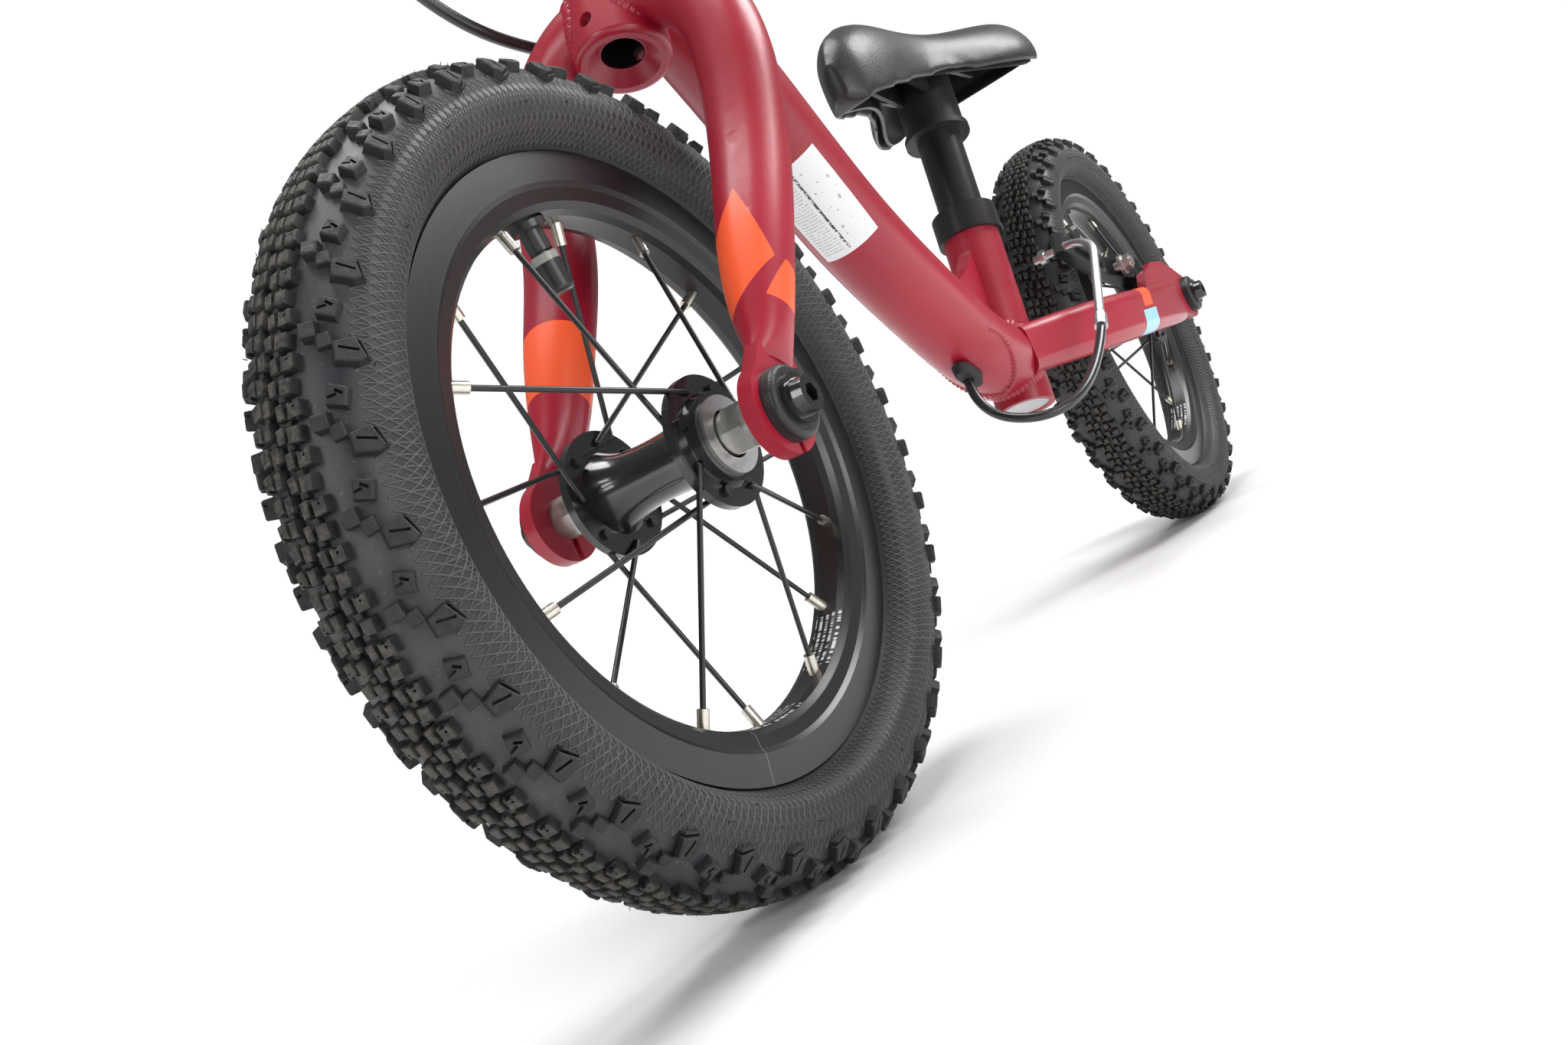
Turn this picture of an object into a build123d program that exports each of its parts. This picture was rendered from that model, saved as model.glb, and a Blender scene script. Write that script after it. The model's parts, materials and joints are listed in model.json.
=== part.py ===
from build123d import *
import math
import os

os.makedirs("parts", exist_ok=True)

# Layout: +X forward, +Y to the bike's left, +Z up, origin on the ground.
WHEELBASE = 563.4
AXLE_Z = 140.4
FRONT_X = WHEELBASE / 2
REAR_X = -WHEELBASE / 2

# Tyre and rim
TREAD_R = 140.4
CASING_R = 137.3
TYRE_HALF_W = 21.4
RIM_R = 107.4
RIM_HALF_W = 11.0
BEAD_SEAT_R = 101.5
SPOKE_BED_R = 88.4
TREAD_REPEATS = 36

# Spokes and hub
FLANGE_Y = 23.0
FLANGE_R = 22.5
FLANGE_T = 3.0
HOLE_CIRCLE_R = 18.0
SPOKE_R = 0.95
NIPPLE_R = 1.95
SPOKES_PER_SIDE = 8
LEFT_START_DEG = 25.6
RIGHT_START_DEG = 3.1
VALVE_DEG = 81.5
AXLE_R = 4.9
DROPOUT_IN = 46.0
DROPOUT_OUT = 51.6
COVER_OUT = 56.6

# Steering
HEAD_DIR = Vector(-0.375, 0, 0.927).normalized()
CROWN_FOOT = Vector(196, 0, 294)
CROWN_R = 19.0
CROWN_HOLE_R = 3.0
CROWN_HOLE_UP = 10.5
ACROSS_HEAD = Vector(0.927, 0, 0.375)
STEERER_R = 12.7
STEERER_BORE = 10.4
HEAD_TUBE_R = 18.5
BLADE_R = 14.3
BLADE_WALL = 2.2
HOLLOW_STATIONS = 7

# Frame
MAIN_TUBE_R = 20.5
MAIN_TUBE_WALL = 1.6
STAY_WALL = 2.0
SEAT_DIR = Vector(-0.2845, 0, 0.9587).normalized()
SEAT_FOOT = Vector(-49.5, 0, 113)
SEAT_TUBE_R = 16.0
SEAT_TUBE_LEN = 108.0
POST_R = 12.7
BORE_PLAY = 0.06

# Rear brake, laid out along a radius of the rear wheel
BRAKE_DEG = 18.0
PIVOT_RAD = 75.0
PIVOT_Y = 40.0
PAD_RAD = 99.0
PAD_LEN = 40.0
PAD_TALL = 8.4
PAD_IN = 13.4
ARM_END_RAD = 168.0
NOODLE_X = -121.0
NOODLE_Z = 190.0

# Handlebar and hand brake
BAR_R = 11.1
BAR_CLAMP = (168, 0, 468)
GRIP_R = 15.5
LEVER_Z = 530.6
LEVER_PIVOT = (190.0, -101.0)

# Cable
HOUSING_R = 2.5
NOODLE_R = 2.5
WIRE_R = 0.9


def along(start, direction, distance):
    return start + direction * distance


def wheel_plane(x):
    return Plane(origin=(x, 0, AXLE_Z), x_dir=(0, 1, 0), z_dir=(1, 0, 0))


def wheel_axis(x):
    return Axis((x, 0, AXLE_Z), (0, 1, 0))


def wheel_point(x, radius, degrees, y):
    turn = math.radians(degrees)
    return Vector(x + radius * math.cos(turn), y, AXLE_Z + radius * math.sin(turn))


def tread_plane(x, radius, degrees, y, lean):
    turn = math.radians(degrees)
    tilt = math.radians(lean)
    out = Vector(
        math.cos(turn) * math.cos(tilt),
        math.sin(tilt),
        math.sin(turn) * math.cos(tilt),
    )
    round_dir = Vector(-math.sin(turn), 0, math.cos(turn))
    return Plane(origin=wheel_point(x, radius, degrees, y), x_dir=round_dir, z_dir=out)


def spoke_layout(x):
    # Each entry: hub hole centre, which face the spoke leaves from, rim point.
    layout = []
    for side, start in ((1, LEFT_START_DEG), (-1, RIGHT_START_DEG)):
        for j in range(SPOKES_PER_SIDE):
            rim_deg = start + 45.0 * j
            swing = 45.0 if j % 2 == 0 else -45.0
            face = 1 if j % 2 == 0 else -1
            hole = wheel_point(x, HOLE_CIRCLE_R, rim_deg + swing, side * FLANGE_Y)
            shift = side * face * (FLANGE_T / 2 + SPOKE_R + 0.1)
            elbow = hole + Vector(0, shift, 0)
            rim = wheel_point(x, SPOKE_BED_R + 2.0, rim_deg, side * 1.8)
            layout.append((hole, shift, elbow, rim))
    return layout


def make_tyre(name, x):
    with BuildPart() as tyre:
        with BuildSketch(wheel_plane(x)):
            with BuildLine():
                Spline(
                    (-10.3, 107.9),
                    (-18.6, 113.0),
                    (-TYRE_HALF_W, 121.5),
                    (-17.8, 131.0),
                    (-9.8, 136.0),
                    (0, CASING_R),
                    (9.8, 136.0),
                    (17.8, 131.0),
                    (TYRE_HALF_W, 121.5),
                    (18.6, 113.0),
                    (10.3, 107.9),
                )
                Polyline((10.3, 107.9), (8.9, 107.2), (8.9, 102.2), (7.2, 102.2))
                Spline(
                    (7.2, 102.2),
                    (8.4, 109.8),
                    (15.6, 115.4),
                    (18.6, 121.7),
                    (15.4, 129.0),
                    (8.8, 133.2),
                    (0, CASING_R - 2.8),
                    (-8.8, 133.2),
                    (-15.4, 129.0),
                    (-18.6, 121.7),
                    (-15.6, 115.4),
                    (-8.4, 109.8),
                    (-7.2, 102.2),
                )
                Polyline((-7.2, 102.2), (-8.9, 102.2), (-8.9, 107.2), (-10.3, 107.9))
            make_face()
        revolve(axis=wheel_axis(x))
        step = 360.0 / TREAD_REPEATS
        centre = []
        shoulder = []
        for i in range(TREAD_REPEATS):
            turn = -90.0 + i * step
            centre.append(tread_plane(x, 135.4, turn, 4.2, 0))
            centre.append(tread_plane(x, 135.4, turn + step / 2, -4.2, 0))
            shoulder.append(tread_plane(x, 128.2, turn + step / 4, 16.4, 38))
            shoulder.append(tread_plane(x, 128.2, turn - step / 4, -16.4, -38))
        with Locations(*[p.location for p in centre]):
            Box(8.0, 6.6, 5.0, align=(Align.CENTER, Align.CENTER, Align.MIN))
        with Locations(*[p.location for p in shoulder]):
            Box(8.5, 6.0, 6.0, align=(Align.CENTER, Align.CENTER, Align.MIN))
    tyre.part.label = name
    export_step(tyre.part, f"parts/{name}.step")
    return tyre.part


def make_rim(name, x):
    with BuildPart() as rim:
        with BuildSketch(wheel_plane(x)):
            with BuildLine():
                Polyline(
                    (RIM_HALF_W, RIM_R),
                    (RIM_HALF_W, 97.2),
                    (RIM_HALF_W - 1.2, 95.6),
                    (RIM_HALF_W - 2.2, 91.2),
                    (RIM_HALF_W - 4.2, 89.2),
                    (4.0, SPOKE_BED_R),
                    (-4.0, SPOKE_BED_R),
                    (-RIM_HALF_W + 4.2, 89.2),
                    (-RIM_HALF_W + 2.2, 91.2),
                    (-RIM_HALF_W + 1.2, 95.6),
                    (-RIM_HALF_W, 97.2),
                    (-RIM_HALF_W, RIM_R),
                    (-RIM_HALF_W + 1.9, RIM_R),
                    (-RIM_HALF_W + 1.9, BEAD_SEAT_R),
                    (-6.6, 100.6),
                    (-5.2, 91.0),
                    (5.2, 91.0),
                    (6.6, 100.6),
                    (RIM_HALF_W - 1.9, BEAD_SEAT_R),
                    (RIM_HALF_W - 1.9, RIM_R),
                    (RIM_HALF_W, RIM_R),
                )
            make_face()
        revolve(axis=wheel_axis(x))
        drill = []
        for hole, shift, elbow, end in spoke_layout(x):
            drill.append(Plane(origin=end, z_dir=(end - elbow).normalized()).location)
        with Locations(*drill):
            Cylinder(NIPPLE_R + 0.1, 14, mode=Mode.SUBTRACT)
        valve_at = wheel_point(x, SPOKE_BED_R, VALVE_DEG, 0)
        inward = (wheel_point(x, 0, 0, 0) - valve_at).normalized()
        with Locations(Plane(origin=valve_at, z_dir=inward).location):
            Cylinder(4.2, 14, mode=Mode.SUBTRACT)
    rim.part.label = name
    export_step(rim.part, f"parts/{name}.step")
    return rim.part


def make_spokes(name, x):
    with BuildPart() as spokes:
        for hole, shift, elbow, end in spoke_layout(x):
            run = end - elbow
            with Locations(Plane(origin=elbow, z_dir=run.normalized()).location):
                low = (Align.CENTER, Align.CENTER, Align.MIN)
                Cylinder(SPOKE_R, run.length - 1.0, align=low)
            with Locations(Location(elbow)):
                Sphere(SPOKE_R)
            back = Vector(0, -shift, 0).normalized()
            with Locations(Plane(origin=elbow, z_dir=back).location):
                low = (Align.CENTER, Align.CENTER, Align.MIN)
                Cylinder(SPOKE_R, abs(shift) * 2 - 0.6, align=low)
            head_at = hole + back * (FLANGE_T / 2 + 0.1)
            with Locations(Plane(origin=head_at, z_dir=back).location):
                low = (Align.CENTER, Align.CENTER, Align.MIN)
                Cylinder(1.9, 1.3, align=low)
    spokes.part.label = name
    export_step(spokes.part, f"parts/{name}.step")
    return spokes.part


def make_nipples(name, x, spokes):
    with BuildPart() as nipples:
        for hole, shift, elbow, end in spoke_layout(x):
            run = (end - elbow).normalized()
            start = end - run * 9.0
            with Locations(Plane(origin=start, z_dir=run).location):
                low = (Align.CENTER, Align.CENTER, Align.MIN)
                Cylinder(NIPPLE_R, 10.6, align=low)
            with Locations(Plane(origin=end + run * 1.2, z_dir=run).location):
                low = (Align.CENTER, Align.CENTER, Align.MIN)
                Cylinder(NIPPLE_R + 1.0, 1.4, align=low)
        add(spokes, mode=Mode.SUBTRACT)
    nipples.part.label = name
    export_step(nipples.part, f"parts/{name}.step")
    return nipples.part


def make_valve(name, x):
    foot = wheel_point(x, SPOKE_BED_R, VALVE_DEG, 0)
    inward = (wheel_point(x, 0, 0, 0) - foot).normalized()
    with BuildPart() as valve:
        with BuildSketch(Plane(origin=foot, z_dir=inward).offset(0.1)):
            Circle(6.2)
        extrude(amount=2.4)
        with BuildSketch(Plane(origin=foot, z_dir=inward).offset(-4)):
            Circle(4.0)
        extrude(amount=14)
        with BuildSketch(Plane(origin=foot, z_dir=inward).offset(2)):
            Circle(2.9)
        extrude(amount=17)
        with BuildSketch(Plane(origin=foot, z_dir=inward).offset(11)):
            Circle(4.6)
        extrude(amount=13)
        rims = valve.edges().filter_by(GeomType.CIRCLE)
        fillet(rims.sort_by_distance(Vector(x, 0, AXLE_Z))[0], 1.6)
        with BuildSketch(Plane(origin=foot, z_dir=inward).offset(10.9)):
            Circle(4.4)
            Circle(2.9, mode=Mode.SUBTRACT)
        extrude(amount=0.8, mode=Mode.SUBTRACT)
    valve.part.label = name
    export_step(valve.part, f"parts/{name}.step")


def make_hub_shell(name, x):
    with BuildPart() as hub:
        with BuildSketch(wheel_plane(x)):
            inner_y = FLANGE_Y - FLANGE_T / 2
            outer_y = FLANGE_Y + FLANGE_T / 2
            with BuildLine():
                Spline((-inner_y, 14.6), (-13, 11.4), (0, 10.3), (13, 11.4), (inner_y, 14.6))
                Polyline(
                    (inner_y, 14.6),
                    (inner_y, FLANGE_R),
                    (outer_y, FLANGE_R),
                    (outer_y, 16.2),
                    (28.4, 15.2),
                    (28.4, 11.2),
                    (20.4, 11.2),
                    (20.4, 6.4),
                    (-20.4, 6.4),
                    (-20.4, 11.2),
                    (-28.4, 11.2),
                    (-28.4, 15.2),
                    (-outer_y, 16.2),
                    (-outer_y, FLANGE_R),
                    (-inner_y, FLANGE_R),
                    (-inner_y, 14.6),
                )
            make_face()
        revolve(axis=wheel_axis(x))
        drill = []
        for hole, shift, elbow, end in spoke_layout(x):
            drill.append(Plane(origin=hole, z_dir=(0, 1, 0)).location)
        with Locations(*drill):
            Cylinder(SPOKE_R + 0.3, FLANGE_T + 1, mode=Mode.SUBTRACT)
    hub.part.label = name
    export_step(hub.part, f"parts/{name}.step")


def side_plane(x, y, side):
    return Plane(origin=(x, side * y, AXLE_Z), x_dir=(1, 0, 0), z_dir=(0, side, 0))


def make_dust_caps(name, x):
    with BuildPart() as caps:
        for side in (1, -1):
            with BuildSketch(side_plane(x, 28.5, side)):
                Circle(13.2)
                Circle(8.2, mode=Mode.SUBTRACT)
            extrude(amount=1.4)
    caps.part.label = name
    export_step(caps.part, f"parts/{name}.step")


def make_axle(name, x):
    with BuildPart() as axle:
        with BuildSketch(side_plane(x, -DROPOUT_OUT + 0.4, 1)):
            Circle(AXLE_R)
            Circle(3.1, mode=Mode.SUBTRACT)
        extrude(amount=2 * DROPOUT_OUT - 0.8)
        for side in (1, -1):
            with BuildSketch(side_plane(x, 28.6, side)):
                Circle(7.4)
                Circle(AXLE_R, mode=Mode.SUBTRACT)
            extrude(amount=3.6)
            with BuildSketch(side_plane(x, 32.2, side)):
                RegularPolygon(8.6, 6)
                Circle(AXLE_R, mode=Mode.SUBTRACT)
            extrude(amount=7.0)
            with BuildSketch(side_plane(x, 39.2, side)):
                Circle(7.6)
                Circle(AXLE_R, mode=Mode.SUBTRACT)
            extrude(amount=DROPOUT_IN - 39.2)
    axle.part.label = name
    export_step(axle.part, f"parts/{name}.step")


def make_axle_covers(name, x):
    with BuildPart() as covers:
        for side in (1, -1):
            with BuildSketch(side_plane(x, DROPOUT_OUT, side)):
                Circle(12.2)
                Circle(5.4, mode=Mode.SUBTRACT)
            extrude(amount=COVER_OUT - DROPOUT_OUT)
            rims = covers.edges().filter_by(GeomType.CIRCLE).sort_by(Axis.Y)
            outer = [e for e in rims if abs(abs(e.center().Y) - COVER_OUT) < 0.01]
            wide = [e for e in outer if e.radius > 12 and e.center().Y * side > 0]
            fillet(wide, 1.8)
    covers.part.label = name
    export_step(covers.part, f"parts/{name}.step")


def make_axle_bolts(name, x):
    with BuildPart() as bolts:
        for side in (1, -1):
            with BuildSketch(side_plane(x, DROPOUT_OUT - 14, side)):
                Circle(3.05)
            extrude(amount=15)
            with BuildSketch(side_plane(x, COVER_OUT, side)):
                Circle(8.4)
            extrude(amount=1.6)
            with BuildSketch(side_plane(x, DROPOUT_OUT + 0.2, side)):
                Circle(5.2)
            extrude(amount=COVER_OUT - DROPOUT_OUT)
            with BuildSketch(side_plane(x, COVER_OUT + 1.6, side)):
                Circle(6.4)
            extrude(amount=4.0, taper=8)
            with BuildSketch(side_plane(x, COVER_OUT + 1.0, side)):
                RegularPolygon(3.2, 6)
            extrude(amount=5.0, mode=Mode.SUBTRACT)
    bolts.part.label = name
    export_step(bolts.part, f"parts/{name}.step")


def make_wheel(prefix, x):
    make_tyre(prefix + "_tyre", x)
    make_rim(prefix + "_rim", x)
    spokes = make_spokes(prefix + "_spokes", x)
    make_nipples(prefix + "_nipples", x, spokes)
    make_valve(prefix + "_valve", x)
    make_hub_shell(prefix + "_hub_shell", x)
    make_dust_caps(prefix + "_dust_caps", x)
    make_axle(prefix + "_axle", x)
    make_axle_covers(prefix + "_axle_covers", x)
    make_axle_bolts(prefix + "_axle_bolts", x)


def head_plane(distance):
    return Plane(origin=along(CROWN_FOOT, HEAD_DIR, distance), x_dir=(0, 1, 0), z_dir=HEAD_DIR)


def seat_plane(distance):
    return Plane(origin=along(SEAT_FOOT, SEAT_DIR, distance), x_dir=(0, 1, 0), z_dir=SEAT_DIR)


def crown_hole_at():
    # The bolt hole that runs through the crown from front to back.
    centre = along(CROWN_FOOT, HEAD_DIR, CROWN_HOLE_UP)
    return Plane(origin=centre, z_dir=ACROSS_HEAD).location


def make_fork_crown():
    with BuildPart() as crown:
        with BuildSketch(head_plane(0)):
            Circle(CROWN_R)
        extrude(amount=36)
        fillet(crown.edges().sort_by(Axis.Z)[0], 2.5)
        with BuildSketch(head_plane(-1)):
            Circle(8.6)
        extrude(amount=40, mode=Mode.SUBTRACT)
        with BuildSketch(head_plane(5)):
            Circle(STEERER_R)
        extrude(amount=40, mode=Mode.SUBTRACT)
        with BuildSketch(head_plane(0)):
            Circle(14.2)
        extrude(amount=4.6, taper=48, mode=Mode.SUBTRACT)
        with Locations(crown_hole_at()):
            Cylinder(CROWN_HOLE_R, 60, mode=Mode.SUBTRACT)
    crown.part.label = "fork_crown"
    export_step(crown.part, "parts/fork_crown.step")
    return crown.part


def make_steerer():
    with BuildPart() as steerer:
        with BuildSketch(head_plane(5)):
            Circle(STEERER_R)
            Circle(STEERER_BORE, mode=Mode.SUBTRACT)
        extrude(amount=185)
        with Locations(crown_hole_at()):
            Cylinder(CROWN_HOLE_R, 60, mode=Mode.SUBTRACT)
    steerer.part.label = "steerer_tube"
    export_step(steerer.part, "parts/steerer_tube.step")


def blade_stations(side):
    # Centre, direction and the two section radii, from the crown to the neck.
    return [
        ((190.0, side * 8, 315.0), (0, side, -0.12), 13.4, 13.4),
        ((192.5, side * 26, 310.0), (0.05, side, -0.45), 13.8, 13.8),
        ((197.5, side * 40.5, 296.0), (0.2, side * 0.6, -0.85), 14.2, 14.2),
        ((204.5, side * 47.5, 276.0), (0.32, side * 0.16, -0.93), 14.3, 14.3),
        ((219.0, side * 48, 240.0), (0.40, 0, -0.92), 14.3, 14.3),
        ((245.0, side * 47.4, 200.0), (0.56, 0, -0.83), 13.2, 13.2),
        ((255.5, side * 47.2, 184.0), (0.55, 0, -0.83), 12.2, 12.0),
        ((266.0, side * 47.8, 167.0), (0.52, 0, -0.85), 9.9, 9.2),
        ((273.5, side * 48.6, 154.4), (0.50, 0, -0.86), 10.2, 3.6),
    ]


def make_fork_blade(name, side, crown):
    with BuildPart() as blade:
        for centre, direction, wide, thick in blade_stations(side):
            out = Vector(*direction).normalized()
            across = Vector(0, 1, 0).cross(out).normalized()
            with BuildSketch(Plane(origin=centre, x_dir=across, z_dir=out)):
                Ellipse(wide, thick)
        loft()
        for centre, direction, wide, thick in blade_stations(side)[:HOLLOW_STATIONS]:
            out = Vector(*direction).normalized()
            across = Vector(0, 1, 0).cross(out).normalized()
            with BuildSketch(Plane(origin=centre, x_dir=across, z_dir=out)):
                Ellipse(wide - BLADE_WALL, thick - BLADE_WALL)
        loft(mode=Mode.SUBTRACT)
        low_y = side * DROPOUT_IN
        plate = Plane(origin=(0, low_y, 0), x_dir=(1, 0, 0), z_dir=(0, -1, 0))
        with BuildSketch(plate):
            with Locations((FRONT_X, AXLE_Z)):
                Circle(15.6)
            with BuildLine():
                Polyline(
                    (FRONT_X - 17.4, AXLE_Z + 10.5),
                    (FRONT_X - 16.5, AXLE_Z + 18),
                    (FRONT_X - 2.5, AXLE_Z + 22.5),
                    (FRONT_X + 7.5, AXLE_Z + 13),
                    close=True,
                )
            make_face()
        extrude(amount=-side * (DROPOUT_OUT - DROPOUT_IN))
        with BuildSketch(plate):
            with Locations((FRONT_X, AXLE_Z)):
                Circle(AXLE_R + 0.1)
            with Locations((FRONT_X, AXLE_Z - 10)):
                Rectangle(2.4, 20)
        extrude(amount=-side * 12, both=True, mode=Mode.SUBTRACT)
        add(crown, mode=Mode.SUBTRACT)
        with BuildSketch(head_plane(-1)):
            Circle(CROWN_R - 0.5)
        extrude(amount=60, mode=Mode.SUBTRACT)
        if side < 0:
            with Locations(Plane(origin=(214, -30, 300), z_dir=(0.85, 0.2, 0.3)).location):
                Cylinder(3.4, 34, mode=Mode.SUBTRACT)
    blade.part.label = name
    export_step(blade.part, f"parts/{name}.step")


def make_head_parts():
    with BuildPart() as rings:
        with BuildSketch(head_plane(36)):
            Circle(17.4)
            Circle(STEERER_R, mode=Mode.SUBTRACT)
        extrude(amount=2.6)
        with BuildSketch(head_plane(146.4)):
            Circle(17.6)
            Circle(STEERER_R, mode=Mode.SUBTRACT)
        extrude(amount=7.6)
    rings.part.label = "steerer_rings"
    export_step(rings.part, "parts/steerer_rings.step")

    with BuildPart() as cups:
        with BuildSketch(head_plane(39)):
            Circle(19.6)
            Circle(STEERER_R + 0.5, mode=Mode.SUBTRACT)
        extrude(amount=8)
        with BuildSketch(head_plane(137)):
            Circle(19.6)
            Circle(STEERER_R + 0.5, mode=Mode.SUBTRACT)
        extrude(amount=9)
    cups.part.label = "headset_cups"
    export_step(cups.part, "parts/headset_cups.step")

    with BuildPart() as head_tube:
        with BuildSketch(head_plane(47)):
            Circle(HEAD_TUBE_R)
            Circle(HEAD_TUBE_R - 3.0, mode=Mode.SUBTRACT)
        extrude(amount=90)
    head_tube.part.label = "head_tube"
    export_step(head_tube.part, "parts/head_tube.step")


def bar_end_plane(y):
    return Plane(origin=(BAR_CLAMP[0], y, BAR_CLAMP[2]), x_dir=(1, 0, 0), z_dir=(0, 1, 0))


def make_stem():
    reach = Vector(BAR_CLAMP) - along(CROWN_FOOT, HEAD_DIR, 172)
    with BuildPart() as stem:
        with BuildSketch(head_plane(154)):
            Circle(17.2)
        extrude(amount=36)
        arm = Plane(origin=along(CROWN_FOOT, HEAD_DIR, 172), x_dir=(0, 1, 0), z_dir=reach.normalized())
        with BuildSketch(arm):
            RectangleRounded(26, 26, 7)
        extrude(amount=reach.length)
        with BuildSketch(bar_end_plane(-22)):
            Circle(18)
        extrude(amount=44)
        with BuildSketch(head_plane(150)):
            Circle(STEERER_R)
        extrude(amount=45, mode=Mode.SUBTRACT)
        with BuildSketch(bar_end_plane(-30)):
            Circle(BAR_R + 0.03)
        extrude(amount=60, mode=Mode.SUBTRACT)
        with Locations(Location((BAR_CLAMP[0] + 30.4, 0, BAR_CLAMP[2]))):
            Box(60, 60, 60, mode=Mode.SUBTRACT)
    stem.part.label = "stem"
    export_step(stem.part, "parts/stem.step")

    with BuildPart() as plate:
        with BuildSketch(bar_end_plane(-22)):
            Circle(18)
            Circle(BAR_R + 0.03, mode=Mode.SUBTRACT)
        extrude(amount=44)
        with Locations(Location((BAR_CLAMP[0] - 28.4, 0, BAR_CLAMP[2]))):
            Box(60, 60, 60, mode=Mode.SUBTRACT)
        with BuildSketch(Plane(origin=(BAR_CLAMP[0] + 10, 0, BAR_CLAMP[2]), z_dir=(1, 0, 0))):
            Circle(8)
        extrude(amount=10, mode=Mode.SUBTRACT)
        with Locations(*face_bolt_places(6)):
            Cylinder(2.6, 30, mode=Mode.SUBTRACT)
        with Locations(*face_bolt_places(10.2)):
            Cylinder(4.4, 12, align=(Align.CENTER, Align.CENTER, Align.MIN), mode=Mode.SUBTRACT)
    plate.part.label = "stem_faceplate"
    export_step(plate.part, "parts/stem_faceplate.step")

    with BuildPart() as bolts:
        with Locations(*face_bolt_places(10.2)):
            Cylinder(4.2, 4.0, align=(Align.CENTER, Align.CENTER, Align.MIN))
        with Locations(*face_bolt_places(2.0)):
            Cylinder(2.2, 8.4, align=(Align.CENTER, Align.CENTER, Align.MIN))
        with BuildSketch(*[Plane(place) for place in face_bolt_places(11.6)]):
            RegularPolygon(2.2, 6)
        extrude(amount=4, mode=Mode.SUBTRACT)
        with BuildSketch(head_plane(190.2)):
            Circle(16.6)
        extrude(amount=4.4, taper=10)
        with BuildSketch(head_plane(191.6)):
            RegularPolygon(3.2, 6)
        extrude(amount=6, mode=Mode.SUBTRACT)
    bolts.part.label = "stem_bolts"
    export_step(bolts.part, "parts/stem_bolts.step")


def face_bolt_places(depth):
    places = []
    for y in (-15, 15):
        for dz in (-13.6, 13.6):
            at = (BAR_CLAMP[0] + depth, y, BAR_CLAMP[2] + dz)
            places.append(Plane(origin=at, z_dir=(1, 0, 0)).location)
    return places


def bar_path_points():
    return [
        (142, -215, 532),
        (158, -95, 530),
        (168, -30, 468),
        (168, 30, 468),
        (158, 95, 530),
        (142, 215, 532),
    ]


def bar_outside(radius):
    with BuildPart(mode=Mode.PRIVATE) as solid:
        with BuildLine() as path:
            FilletPolyline(*bar_path_points(), radius=24)
        with BuildSketch(Plane(origin=path.line @ 0, z_dir=path.line % 0)):
            Circle(radius)
        sweep()
    return solid.part


def make_handlebar():
    with BuildPart() as bar:
        with BuildLine() as path:
            FilletPolyline(*bar_path_points(), radius=24)
        start = Plane(origin=path.line @ 0, z_dir=path.line % 0)
        with BuildSketch(start):
            Circle(BAR_R)
        sweep()
        with BuildSketch(start):
            Circle(BAR_R - 1.8)
        sweep(path=path.line, mode=Mode.SUBTRACT)
    bar.part.label = "handlebar"
    export_step(bar.part, "parts/handlebar.step")


def grip_plane(side, y):
    outer = Vector(142, side * 215, 532)
    inner = Vector(158, side * 95, 530)
    run = (outer - inner).normalized()
    return Plane(origin=inner + run * ((y - 95) / abs(run.Y)), x_dir=(0, 0, 1), z_dir=run)


def make_grip(name, side):
    with BuildPart() as grip:
        with BuildSketch(grip_plane(side, 119)):
            Circle(19)
        extrude(amount=4)
        with BuildSketch(grip_plane(side, 123)):
            Circle(GRIP_R)
        extrude(amount=91)
        with BuildSketch(grip_plane(side, 214)):
            Circle(20)
        extrude(amount=5)
        fillet(grip.edges().filter_by(GeomType.CIRCLE).sort_by_distance(Vector(150, 0, 530))[-1], 2)
        for step in range(12):
            with BuildSketch(grip_plane(side, 128 + step * 7)):
                Circle(GRIP_R + 1)
                Circle(GRIP_R - 0.8, mode=Mode.SUBTRACT)
            extrude(amount=2.4, mode=Mode.SUBTRACT)
        with BuildSketch(grip_plane(side, 118)):
            Circle(BAR_R)
        extrude(amount=98, mode=Mode.SUBTRACT)
    grip.part.label = name
    export_step(grip.part, f"parts/{name}.step")


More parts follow.
